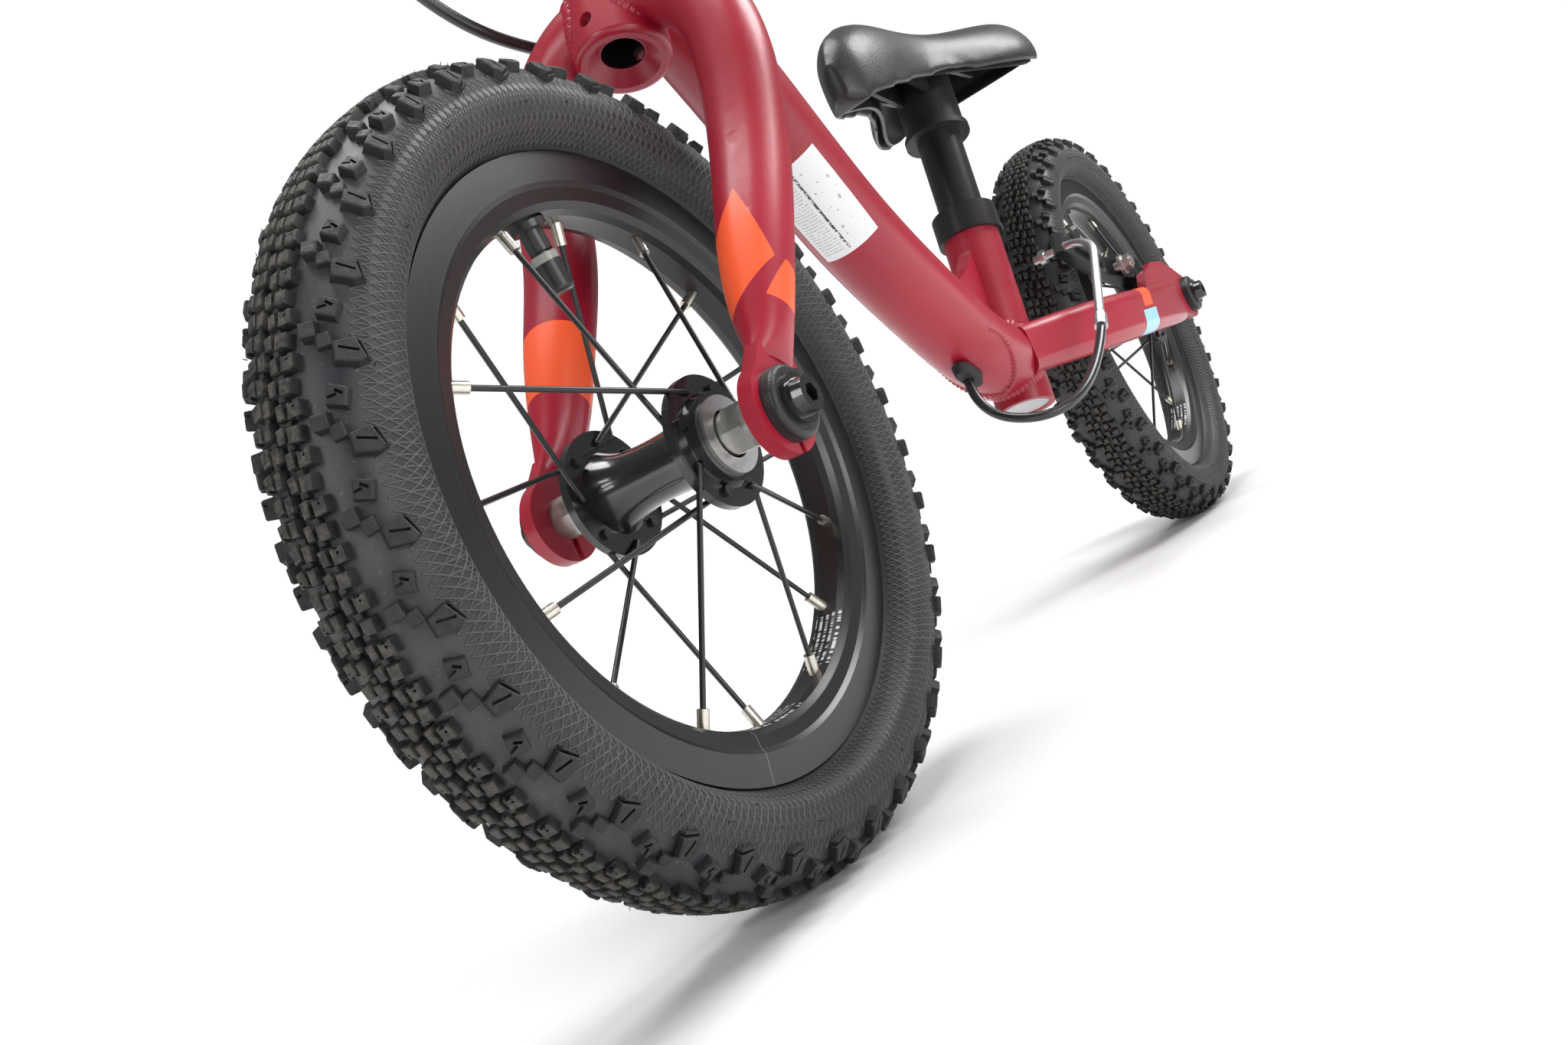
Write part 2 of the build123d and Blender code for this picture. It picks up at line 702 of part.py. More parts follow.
def make_hand_brake():
    clamp = grip_plane(-1, 97)
    with BuildPart() as bracket:
        with BuildSketch(clamp):
            Circle(15.2)
            Circle(BAR_R, mode=Mode.SUBTRACT)
        extrude(amount=13)
        with BuildSketch(Plane.XY.offset(LEVER_Z - 8.4)):
            with BuildLine():
                Polyline(
                    (168, -110.5),
                    (196, -108),
                    (197, -94),
                    (186, -80),
                    (176, -80),
                    (168, -97),
                    close=True,
                )
            make_face()
        extrude(amount=16.8)
        with BuildSketch(Plane.XY.offset(LEVER_Z - 5.4)):
            with BuildLine():
                Polyline((172, -114), (202, -114), (202, -88), (178, -88), close=True)
            make_face()
        extrude(amount=10.8, mode=Mode.SUBTRACT)
        add(bar_outside(BAR_R + 0.02), mode=Mode.SUBTRACT)
        with Locations(Location((LEVER_PIVOT[0], LEVER_PIVOT[1], LEVER_Z))):
            Cylinder(2.5, 30, mode=Mode.SUBTRACT)
        with Locations(Location((LEVER_PIVOT[0], LEVER_PIVOT[1], LEVER_Z))):
            Cylinder(2.4, 16.8)
        with Locations(Location((LEVER_PIVOT[0], LEVER_PIVOT[1], LEVER_Z + 8.6))):
            Cylinder(4.0, 2.0, align=(Align.CENTER, Align.CENTER, Align.MIN))
        with BuildSketch(Plane(origin=(181, -80, LEVER_Z), z_dir=(0, 1, 0))):
            Circle(4.4)
            Circle(HOUSING_R + 0.1, mode=Mode.SUBTRACT)
        extrude(amount=12)
        with BuildSketch(Plane(origin=(181, -78, LEVER_Z), z_dir=(0, 1, 0))):
            Circle(6.0)
            Circle(HOUSING_R + 0.1, mode=Mode.SUBTRACT)
        extrude(amount=4)
    bracket.part.label = "brake_lever_bracket"
    export_step(bracket.part, "parts/brake_lever_bracket.step")

    with BuildPart() as lever:
        with BuildSketch(Plane.XY.offset(LEVER_Z - 5)):
            with BuildLine():
                Spline((184, -94), (194, -94), (198, -104), (192, -140), (186, -170), (187, -192))
                Polyline((187, -192), (181.5, -193))
                Spline((181.5, -193), (180, -170), (185, -140), (187, -112), (184, -104), (184, -94))
            make_face()
        extrude(amount=10)
        with Locations(Location((LEVER_PIVOT[0], LEVER_PIVOT[1], LEVER_Z))):
            Cylinder(2.4 + BORE_PLAY, 30, mode=Mode.SUBTRACT)
    lever.part.label = "brake_lever"
    export_step(lever.part, "parts/brake_lever.step")


def main_tube_path():
    return [
        (184, 0, 384),
        (156, 0, 341),
        (113, 0, 285),
        (69, 0, 224),
        (20, 0, 178),
        (-14, 0, 153),
        (-50, 0, 141),
    ]


def head_solid(radius):
    with BuildPart(mode=Mode.PRIVATE) as solid:
        with BuildSketch(head_plane(20)):
            Circle(radius)
        extrude(amount=150)
    return solid.part


def seat_solid(radius):
    with BuildPart(mode=Mode.PRIVATE) as solid:
        with BuildSketch(seat_plane(-20)):
            Circle(radius)
        extrude(amount=150)
    return solid.part


def make_main_tube(head_core, seat_core):
    with BuildPart() as tube:
        with BuildLine() as path:
            Spline(*main_tube_path())
        start = Plane(origin=path.line @ 0, z_dir=path.line % 0)
        with BuildSketch(start):
            Circle(MAIN_TUBE_R)
        sweep(path=path.line)
        with BuildSketch(start):
            Circle(MAIN_TUBE_R - MAIN_TUBE_WALL)
        sweep(path=path.line, mode=Mode.SUBTRACT)
        add(head_core, mode=Mode.SUBTRACT)
        add(seat_core, mode=Mode.SUBTRACT)
        with Locations(Plane(origin=(9, 0.4, 141), z_dir=(0.45, 0.08, -0.9)).location):
            Cylinder(3.6, 30, mode=Mode.SUBTRACT)
        with Locations(Plane(origin=(148, -20.5, 313.5), z_dir=(0.8, -0.55, 0.24)).location):
            Cylinder(3.6, 24, mode=Mode.SUBTRACT)
        with Locations(Location((-85, 0, 130))):
            Box(50, 80, 90, mode=Mode.SUBTRACT)
        with BuildSketch(head_plane(-10)):
            Circle(20.6)
        extrude(amount=57.6, mode=Mode.SUBTRACT)
        front = along(CROWN_FOOT, HEAD_DIR, 90) + Vector(0.927, 0, 0.375) * 60
        with Locations(Plane(origin=front, x_dir=(0, 1, 0), z_dir=HEAD_DIR).location):
            Box(100, 120, 300, mode=Mode.SUBTRACT)
    tube.part.label = "main_tube"
    export_step(tube.part, "parts/main_tube.step")
    return tube.part


def tube_outside():
    with BuildPart(mode=Mode.PRIVATE) as solid:
        with BuildLine() as path:
            Spline(*main_tube_path())
        with BuildSketch(Plane(origin=path.line @ 0, z_dir=path.line % 0)):
            Circle(MAIN_TUBE_R)
        sweep(path=path.line)
    return solid.part


def make_seat_tube():
    with BuildPart() as tube:
        with BuildSketch(seat_plane(0)):
            Circle(SEAT_TUBE_R)
        extrude(amount=SEAT_TUBE_LEN)
        with BuildSketch(seat_plane(-1)):
            Circle(POST_R + BORE_PLAY)
        extrude(amount=SEAT_TUBE_LEN + 10, mode=Mode.SUBTRACT)
        slot_at = along(SEAT_FOOT, SEAT_DIR, 97) - Vector(14, 0, 0)
        with Locations(Plane(origin=slot_at, z_dir=SEAT_DIR).location):
            Box(10, 2.0, 30, mode=Mode.SUBTRACT)
    tube.part.label = "seat_tube"
    export_step(tube.part, "parts/seat_tube.step")

    with BuildPart() as plug:
        with BuildSketch(seat_plane(0.6)):
            Circle(POST_R + BORE_PLAY)
        extrude(amount=6)
    plug.part.label = "seat_tube_plug"
    export_step(plug.part, "parts/seat_tube_plug.step")

    with BuildPart() as collar:
        with BuildSketch(seat_plane(SEAT_TUBE_LEN - 4)):
            Circle(18.4)
            Circle(SEAT_TUBE_R, mode=Mode.SUBTRACT)
        extrude(amount=4)
        with BuildSketch(seat_plane(SEAT_TUBE_LEN)):
            Circle(18.4)
        extrude(amount=12)
        with BuildSketch(seat_plane(SEAT_TUBE_LEN)):
            with Locations((0, 19.5)):
                RectangleRounded(14, 10, 2.5)
        extrude(amount=12)
        with BuildSketch(seat_plane(SEAT_TUBE_LEN - 1)):
            Circle(POST_R + 0.3)
        extrude(amount=20, mode=Mode.SUBTRACT)
        rear = along(SEAT_FOOT, SEAT_DIR, SEAT_TUBE_LEN + 4)
        with Locations(Plane(origin=rear - Vector(20, 0, 5), z_dir=SEAT_DIR).location):
            Box(16, 1.8, 40, mode=Mode.SUBTRACT)
        with Locations(Plane(origin=collar_bolt_place(), z_dir=(0, 1, 0)).location):
            Cylinder(2.6, 40, mode=Mode.SUBTRACT)
    collar.part.label = "seat_collar"
    export_step(collar.part, "parts/seat_collar.step")

    with BuildPart() as bolt:
        with Locations(Plane(origin=collar_bolt_place() - Vector(0, 7, 0), z_dir=(0, 1, 0)).location):
            Cylinder(2.5, 14, align=(Align.CENTER, Align.CENTER, Align.MIN))
        with Locations(Plane(origin=collar_bolt_place() + Vector(0, 7.05, 0), z_dir=(0, 1, 0)).location):
            Cylinder(4.2, 4, align=(Align.CENTER, Align.CENTER, Align.MIN))
        with BuildSketch(Plane(origin=collar_bolt_place() + Vector(0, 8, 0), z_dir=(0, 1, 0))):
            RegularPolygon(2.2, 6)
        extrude(amount=6, mode=Mode.SUBTRACT)
    bolt.part.label = "seat_collar_bolt"
    export_step(bolt.part, "parts/seat_collar_bolt.step")


def collar_bolt_place():
    back = Vector(0, 1, 0).cross(SEAT_DIR)
    if back.X > 0:
        back = back * -1
    return along(SEAT_FOOT, SEAT_DIR, SEAT_TUBE_LEN + 6) + back * 21.0


def make_gusset(tube_core, seat_core):
    with BuildPart() as gusset:
        with BuildSketch(Plane(origin=(0, -4, 0), x_dir=(1, 0, 0), z_dir=(0, -1, 0))):
            with BuildLine():
                Polyline((-64, 150), (20, 186), (0, 187), (-26, 189), (-46, 196), (-64, 208), close=True)
            make_face()
        extrude(amount=-8)
        add(tube_core, mode=Mode.SUBTRACT)
        add(seat_core, mode=Mode.SUBTRACT)
        with Locations(Location((-130, 0, 180))):
            Box(100, 100, 200, mode=Mode.SUBTRACT)
    gusset.part.label = "seat_tube_gusset"
    export_step(gusset.part, "parts/seat_tube_gusset.step")


def stay_stations(side):
    # Centre of each section, its direction, height and width.
    return [
        ((-42, side * 14, 141.5), (-1, side * 0.5, 0), 27, 15),
        ((-66, side * 21, 141.2), (-1, side * 0.5, 0), 28, 16),
        ((-95, side * 31, 140.4), (-1, side * 0.32, -0.03), 29, 17),
        ((-140, side * 41.5, 139.4), (-1, side * 0.18, -0.02), 29, 17),
        ((-200, side * 46.8, 139.0), (-1, side * 0.04, 0), 29, 15),
        ((-252, side * 47.8, 139.0), (-1, side * 0.01, 0), 28, 11),
    ]


def make_chainstay(name, side, tube_core, seat_core):
    with BuildPart() as stay:
        for centre, direction, tall, wide in stay_stations(side):
            out = Vector(*direction).normalized()
            across = Vector(0, 0, 1).cross(out).normalized()
            with BuildSketch(Plane(origin=centre, x_dir=across, z_dir=out)):
                RectangleRounded(wide, tall, min(wide, tall) * 0.42)
        loft()
        for centre, direction, tall, wide in stay_stations(side)[1:5]:
            out = Vector(*direction).normalized()
            across = Vector(0, 0, 1).cross(out).normalized()
            with BuildSketch(Plane(origin=centre, x_dir=across, z_dir=out)):
                hollow = min(wide, tall) - 2 * STAY_WALL
                RectangleRounded(wide - 2 * STAY_WALL, tall - 2 * STAY_WALL, hollow * 0.42)
        loft(mode=Mode.SUBTRACT)
        add(tube_core, mode=Mode.SUBTRACT)
        add(seat_core, mode=Mode.SUBTRACT)
        with Locations(Location((-40, -side * 30, 140))):
            Box(120, 60, 80, mode=Mode.SUBTRACT)
        add(brake_boss_solid(side, 7.2, -16, 14), mode=Mode.SUBTRACT)
    piece = max(stay.part.solids(), key=lambda s: s.volume)
    whole = Part(piece.wrapped)
    whole.label = name
    export_step(whole, f"parts/{name}.step")
    return whole


def brake_plane():
    turn = math.radians(BRAKE_DEG)
    out = Vector(math.cos(turn), 0, math.sin(turn))
    up = Vector(-math.sin(turn), 0, math.cos(turn))
    return Plane(origin=(REAR_X, 0, AXLE_Z), x_dir=out, z_dir=up)


def brake_point(radius, y, rise):
    base = brake_plane()
    return base.origin + base.x_dir * radius + Vector(0, y, 0) + base.z_dir * rise


def brake_boss_solid(side, radius, low, high):
    with BuildPart(mode=Mode.PRIVATE) as boss:
        foot = brake_point(PIVOT_RAD, side * PIVOT_Y, low)
        with Locations(Plane(origin=foot, z_dir=brake_plane().z_dir).location):
            Cylinder(radius, high - low, align=(Align.CENTER, Align.CENTER, Align.MIN))
    return boss.part


def make_dropout(name, side, stay):
    plate = Plane(origin=(0, side * DROPOUT_IN, 0), x_dir=(1, 0, 0), z_dir=(0, -1, 0))
    with BuildPart() as dropout:
        with BuildSketch(plate):
            with Locations((REAR_X, AXLE_Z)):
                Circle(15.4)
            with BuildLine():
                Polyline(
                    (REAR_X - 4, AXLE_Z + 14.6),
                    (REAR_X + 12, AXLE_Z + 20.5),
                    (REAR_X + 34, AXLE_Z + 26.5),
                    (REAR_X + 58, AXLE_Z + 27.0),
                    (REAR_X + 84, AXLE_Z + 21.0),
                    (REAR_X + 97, AXLE_Z + 10.0),
                    (REAR_X + 97, AXLE_Z - 6.0),
                    (REAR_X + 30, AXLE_Z - 11.0),
                    (REAR_X + 4, AXLE_Z - 14.6),
                    close=True,
                )
            make_face()
        extrude(amount=-side * (DROPOUT_OUT - DROPOUT_IN))
        with BuildSketch(plate):
            with Locations((REAR_X, AXLE_Z)):
                Circle(AXLE_R + 0.1)
            with Locations((REAR_X - 4, AXLE_Z - 10)):
                Rectangle(2.4, 24, rotation=-20)
        extrude(amount=-side * 12, both=True, mode=Mode.SUBTRACT)
        add(*stay.solids(), mode=Mode.SUBTRACT)
        add(brake_boss_solid(side, 7.2, -16, 14), mode=Mode.SUBTRACT)
        add(brake_boss_solid(side, 8.8, -8.3, 24), mode=Mode.SUBTRACT)
    piece = max(dropout.part.solids(), key=lambda s: s.volume)
    whole = Part(piece.wrapped)
    whole.label = name
    export_step(whole, f"parts/{name}.step")


def make_brake_bosses():
    up = brake_plane().z_dir
    low = (Align.CENTER, Align.CENTER, Align.MIN)
    with BuildPart() as bosses:
        for side in (1, -1):
            with Locations(Plane(origin=brake_point(PIVOT_RAD, side * PIVOT_Y, -16), z_dir=up).location):
                Cylinder(7.2, 7.6, align=low)
            with Locations(Plane(origin=brake_point(PIVOT_RAD, side * PIVOT_Y, -9), z_dir=up).location):
                Cylinder(4.0, 17.4, align=low)
        for side in (1, -1):
            with Locations(Plane(origin=brake_point(PIVOT_RAD, side * PIVOT_Y, 8.4), z_dir=up).location):
                Cylinder(5.4, 3.2, align=low)
            with BuildSketch(Plane(origin=brake_point(PIVOT_RAD, side * PIVOT_Y, 9.6), z_dir=up)):
                RegularPolygon(2.6, 6)
            extrude(amount=6, mode=Mode.SUBTRACT)
    bosses.part.label = "brake_posts"
    export_step(bosses.part, "parts/brake_posts.step")


def make_brake_arm(name, side):
    with BuildPart() as arm:
        with BuildSketch(brake_plane().offset(-8)):
            with Locations((PIVOT_RAD, side * PIVOT_Y)):
                Circle(7.8)
        extrude(amount=16)
        with BuildSketch(brake_plane().offset(-6)):
            with BuildLine():
                Polyline(
                    (PIVOT_RAD - 2, side * (PIVOT_Y - 6)),
                    (PIVOT_RAD - 2, side * (PIVOT_Y + 6)),
                    (PIVOT_RAD + 12, side * (PIVOT_Y + 4)),
                    (PIVOT_RAD + 34, side * 36.4),
                    (ARM_END_RAD + 2, side * 34.6),
                    (ARM_END_RAD + 6, side * 31.5),
                    (ARM_END_RAD + 2, side * 27.6),
                    (PIVOT_RAD + 34, side * 28.6),
                    (PIVOT_RAD + 14, side * 31.4),
                    close=True,
                )
            make_face()
        extrude(amount=12)
        with BuildSketch(brake_plane().offset(-3)):
            with BuildLine():
                Polyline(
                    (PIVOT_RAD + 40, side * 33.4),
                    (ARM_END_RAD - 14, side * 32.4),
                    (ARM_END_RAD - 14, side * 40),
                    (PIVOT_RAD + 40, side * 40),
                    close=True,
                )
            make_face()
        extrude(amount=6, mode=Mode.SUBTRACT)
        with BuildSketch(brake_plane().offset(-10)):
            with Locations((PIVOT_RAD, side * PIVOT_Y)):
                Circle(4.0 + BORE_PLAY)
        extrude(amount=20, mode=Mode.SUBTRACT)
        with Locations(Plane(origin=brake_point(PAD_RAD, side * 30, 0), z_dir=(0, 1, 0)).location):
            Cylinder(3.1, 40, mode=Mode.SUBTRACT)
        if side > 0:
            with Locations(Plane(origin=(NOODLE_X, 30, NOODLE_Z), z_dir=(0, 1, 0)).location):
                Cylinder(NOODLE_R + 0.05, 40, mode=Mode.SUBTRACT)
        else:
            with Locations(Plane(origin=(NOODLE_X, -30, NOODLE_Z), z_dir=(0, 1, 0)).location):
                Cylinder(2.6, 40, mode=Mode.SUBTRACT)
    arm.part.label = name
    export_step(arm.part, f"parts/{name}.step")


def make_brake_pads(name, side):
    with BuildPart() as pad:
        along_rim = brake_plane().z_dir
        face = Plane(origin=brake_point(PAD_RAD, side * PAD_IN, 0), x_dir=along_rim, z_dir=(0, side, 0))
        with BuildSketch(face):
            SlotOverall(PAD_LEN, PAD_TALL)
        extrude(amount=6.6)
        with BuildSketch(face.offset(6.6)):
            SlotOverall(PAD_LEN - 10, PAD_TALL - 1.6)
        extrude(amount=3.4)
        for step in (-12, 0, 12):
            with Locations(Location(brake_point(PAD_RAD, side * PAD_IN, step))):
                Box(1.4, 3, 1.4, mode=Mode.SUBTRACT)
    pad.part.label = name
    export_step(pad.part, f"parts/{name}.step")


def make_brake_hardware(name, side):
    out = (0, side, 0)
    low = (Align.CENTER, Align.CENTER, Align.MIN)
    with BuildPart() as hardware:
        with Locations(Plane(origin=brake_point(PAD_RAD, side * 23.4, 0), z_dir=out).location):
            Cylinder(3.0, 27.0, align=low)
        with Locations(Plane(origin=brake_point(PAD_RAD, side * 23.4, 0), z_dir=out).location):
            Cylinder(6.4, 5.2, align=low)
        with Locations(Plane(origin=brake_point(PAD_RAD, side * 42.8, 0), z_dir=out).location):
            Cylinder(6.6, 2.0, align=low)
        with BuildSketch(Plane(origin=brake_point(PAD_RAD, side * 44.8, 0), z_dir=out)):
            RegularPolygon(5.2, 6)
        extrude(amount=4.4)
        if side < 0:
            with Locations(Plane(origin=(NOODLE_X, -26.8, NOODLE_Z), z_dir=out).location):
                Cylinder(2.5, 12.6, align=low)
            with Locations(Plane(origin=(NOODLE_X, -35.2, NOODLE_Z), z_dir=out).location):
                Cylinder(6.2, 1.6, align=low)
            with BuildSketch(Plane(origin=(NOODLE_X, -36.8, NOODLE_Z), z_dir=out)):
                RegularPolygon(4.8, 6)
            extrude(amount=4.0)
    hardware.part.label = name
    export_step(hardware.part, f"parts/{name}.step")


def noodle_points():
    return [(NOODLE_X, 15, NOODLE_Z), (NOODLE_X, 52, NOODLE_Z), (-54, 54, 136)]


def make_noodle():
    with BuildPart() as noodle:
        with BuildLine() as path:
            FilletPolyline(*noodle_points(), radius=20)
        start = Plane(origin=path.line @ 0, z_dir=path.line % 0)
        with BuildSketch(start):
            Circle(NOODLE_R)
        sweep(path=path.line)
        with BuildSketch(start):
            Circle(1.5)
        sweep(path=path.line, mode=Mode.SUBTRACT)
        finish = Plane(origin=path.line @ 1, z_dir=path.line % 1)
        with BuildSketch(finish.offset(-9)):
            Circle(3.6)
            Circle(NOODLE_R, mode=Mode.SUBTRACT)
        extrude(amount=9)
        with BuildSketch(start.offset(4)):
            Circle(4.4)
            Circle(NOODLE_R, mode=Mode.SUBTRACT)
        extrude(amount=3)
    noodle.part.label = "brake_noodle"
    export_step(noodle.part, "parts/brake_noodle.step")

    with BuildPart() as boot:
        profile = [(WIRE_R, -21.0), (4.2, -21.0)]
        for step in range(6):
            profile.append((4.2 - 0.25 * step, -21.0 + 3.1 * step + 1.0))
            profile.append((2.9, -21.0 + 3.1 * step + 2.2))
        profile.append((2.7, -2.0))
        profile.append((WIRE_R, -2.0))
        with BuildSketch(Plane(origin=(NOODLE_X, 0, NOODLE_Z), x_dir=(0, 0, 1), z_dir=(1, 0, 0))):
            with BuildLine():
                Polyline(*[(r, -y) for r, y in profile], close=True)
            make_face()
        revolve(axis=Axis((NOODLE_X, 0, NOODLE_Z), (0, 1, 0)))
        low = (Align.CENTER, Align.CENTER, Align.MIN)
        with Locations(Plane(origin=(NOODLE_X, -26.6, NOODLE_Z), z_dir=(0, 1, 0)).location):
            Cylinder(WIRE_R, 55, align=low)
    boot.part.label = "brake_boot"
    export_step(boot.part, "parts/brake_boot.step")


def housing_radii(points):
    radii = []
    for i in range(1, len(points) - 1):
        before = Vector(points[i]) - Vector(points[i - 1])
        after = Vector(points[i + 1]) - Vector(points[i])
        half = math.radians(before.get_angle(after)) / 2
        radii.append(0.45 * min(before.length, after.length) / math.tan(half))
    return radii


def rear_housing_points():
    return [
        (-53.3, 54, 135.4),
        (-16, 53, 112),
        (16, 34, 102),
        (20, 2, 118),
        (2, -2, 154),
        (30, -3, 196),
        (70, 0, 230),
        (100, -4, 270),
    ]


def front_housing_points():
    return [
        (100.8, -4.1, 271.1),
        (130, -8, 308),
        (176, -40, 322),
        (226, -50, 340),
        (248, -62, 394),
        (238, -30, 450),
        (208, -8, 495),
        (181, -28, LEVER_Z),
        (181, -79.5, LEVER_Z),
    ]


def make_housing(name, points):
    radii = housing_radii(points)
    print(name, [round(r, 1) for r in radii])
    with BuildPart() as housing:
        with BuildLine() as path:
            FilletPolyline(*points, radius=radii)
        with BuildSketch(Plane(origin=path.line @ 0, z_dir=path.line % 0)):
            Circle(HOUSING_R)
        sweep(path=path.line)
    print(name, round(path.wires()[0].length, 1), round(housing.part.volume / (math.pi * HOUSING_R**2), 1))
    housing.part.label = name
    export_step(housing.part, f"parts/{name}.step")


def make_grommets(tube_core):
    with BuildPart() as grommets:
        with BuildSketch(Plane(origin=(8.6, 0.5, 142), x_dir=(0.88, 0, 0.47), z_dir=(0.47, 0.05, -0.88))):
            SlotOverall(22, 9.5)
        extrude(amount=5.5, taper=10)
        with BuildSketch(Plane(origin=(146, -18.8, 312.6), x_dir=(0.5, 0.5, 0.6), z_dir=(0.75, -0.6, 0.1))):
            SlotOverall(17, 9.5)
        extrude(amount=6.5, taper=10)
        add(tube_core, mode=Mode.SUBTRACT)
        for points in (rear_housing_points()[3:5], front_housing_points()[1:3]):
            run = (Vector(points[1]) - Vector(points[0])).normalized()
            with Locations(Plane(origin=points[0], z_dir=run).location):
                Cylinder(HOUSING_R + 0.4, 140, mode=Mode.SUBTRACT)
    grommets.part.label = "cable_grommets"
    export_step(grommets.part, "parts/cable_grommets.step")


def make_seat_post():
    with BuildPart() as post:
        with BuildSketch(seat_plane(42)):
            Circle(POST_R)
            Circle(POST_R - 1.8, mode=Mode.SUBTRACT)
        extrude(amount=140)
    post.part.label = "seat_post"
    export_step(post.part, "parts/seat_post.step")


def saddle_stations():
    # x, half width, crown height, skirt height.
    return [
        (-190, 44.0, 349.0, 318.0),
        (-172, 53.5, 346.0, 303.0),
        (-150, 54.0, 342.0, 298.0),
        (-120, 43.0, 338.0, 299.0),
        (-85, 28.0, 337.0, 301.0),
        (-45, 21.5, 340.0, 297.0),
        (-15, 18.5, 336.0, 291.0),
        (0, 14.5, 329.0, 288.0),
    ]


def arch_points(half, top, low, shrink):
    h = half - shrink
    t = top - shrink
    rise = t - low
    return [
        (-h, low),
        (-h * 0.97, low + rise * 0.38),
        (-h * 0.70, low + rise * 0.80),
        (0, t),
        (h * 0.70, low + rise * 0.80),
        (h * 0.97, low + rise * 0.38),
        (h, low),
    ]


def cross_plane(x):
    return Plane(origin=(x, 0, 0), x_dir=(0, 1, 0), z_dir=(1, 0, 0))


def saddle_solid(shrink, lift, stations):
    with BuildPart(mode=Mode.PRIVATE) as solid:
        for x, half, top, low in stations:
            pts = arch_points(half, top, low + lift, shrink)
            with BuildSketch(cross_plane(x)):
                with BuildLine():
                    Spline(*pts)
                    Line(pts[-1], pts[0])
                make_face()
        loft()
    return solid.part


def make_saddle():
    nose = [(0, 14.5, 329.0, 288.0), (7, 10.0, 321.5, 288.6), (13, 4.5, 313.0, 291.5)]
    tail = [(-202, 24.0, 349.0, 334.0), (-197, 35.0, 350.0, 325.5), (-190, 44.0, 349.0, 318.0)]
    body = saddle_stations()
    with BuildPart() as cover:
        add(saddle_solid(0, 0, body))
        add(saddle_solid(0, 0, nose))
        add(saddle_solid(0, 0, tail))
        inner = [(x, half, top, low) for x, half, top, low in body]
        inner[0] = (-189, 43.5, 349.0, 318.4)
        inner[-1] = (-1, 14.8, 329.4, 288.0)
        add(saddle_solid(5.5, -0.2, inner), mode=Mode.SUBTRACT)
    cover.part.label = "saddle_cover"
    export_step(cover.part, "parts/saddle_cover.step")

    with BuildPart() as base:
        add(saddle_solid(5.7, 3.0, inner))
        lower = [(x, half, top - 3.0, low) for x, half, top, low in inner]
        lower[0] = (-186, 43.5, 346.0, 318.4)
        lower[-1] = (-4, 15.4, 326.8, 288.0)
        add(saddle_solid(8.2, -1.0, lower), mode=Mode.SUBTRACT)
        cup = seat_plane(173)
        with BuildSketch(cup):
            Circle(17.0)
        extrude(amount=42)
        with BuildSketch(cup.offset(-3)):
            Circle(19.0)
        extrude(amount=3.4)
        for y in (-9, 9):
            with BuildSketch(Plane(origin=(0, y - 1.3, 0), x_dir=(1, 0, 0), z_dir=(0, -1, 0))):
                with BuildLine():
                    Polyline((-95, 300), (-20, 312), (-8, 316), (-8, 340), (-95, 340), close=True)
                make_face()
            extrude(amount=-2.6)
        for x in (-70, -56, -42):
            with Locations(Location((x, 0, 326))):
                Box(2.4, 18, 16)
        for y in (-26, -13, 13, 26):
            with Locations(Location((-135, y, 326))):
                Box(60, 2.4, 24)
        with Locations(Location((-95, 0, 420))):
            Box(300, 200, 120, mode=Mode.SUBTRACT)
        with BuildSketch(cup.offset(-4)):
            Circle(POST_R)
        extrude(amount=14, mode=Mode.SUBTRACT)
        add(cover.part, mode=Mode.SUBTRACT)
    piece = max(base.part.solids(), key=lambda s: s.volume)
    whole = Part(piece.wrapped)
    whole.label = "saddle_base"
    export_step(whole, "parts/saddle_base.step")


def build_all():
    make_wheel("front", FRONT_X)
    make_wheel("rear", REAR_X)
    crown = make_fork_crown()
    make_steerer()
    make_fork_blade("fork_blade_left", 1, crown)
    make_fork_blade("fork_blade_right", -1, crown)
    make_head_parts()
    make_stem()
    make_handlebar()
    make_grip("grip_left", 1)
    make_grip("grip_right", -1)
    make_hand_brake()
    head_core = head_solid(HEAD_TUBE_R)
    seat_core = seat_solid(SEAT_TUBE_R)
    tube_core = tube_outside()
    make_main_tube(head_core, seat_core)
    make_seat_tube()
    make_gusset(tube_core, seat_core)
    for side, word in ((1, "left"), (-1, "right")):
        stay = make_chainstay("chainstay_" + word, side, tube_core, seat_core)
        make_dropout("dropout_" + word, side, stay)
        make_brake_arm("brake_arm_" + word, side)
        make_brake_pads("brake_pad_" + word, side)
        make_brake_hardware("brake_bolts_" + word, side)
    make_brake_bosses()
    make_noodle()
    make_housing("brake_housing_rear", rear_housing_points())
    make_housing("brake_housing_front", front_housing_points())
    make_grommets(tube_core)
    make_seat_post()
    make_saddle()


build_all()
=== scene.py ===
# %% [markdown]
# A child's balance bike, dressed for a studio picture. The measured model comes in
# first and stays where it is: it is the skeleton. Everything modelled here is built
# around it in metres, with +X forward, +Y to the bike's left and +Z up.

# %% Load the measured model
import json
import math
import random

import bpy
from mathutils import Matrix, Vector
from mathutils.bvhtree import BVHTree


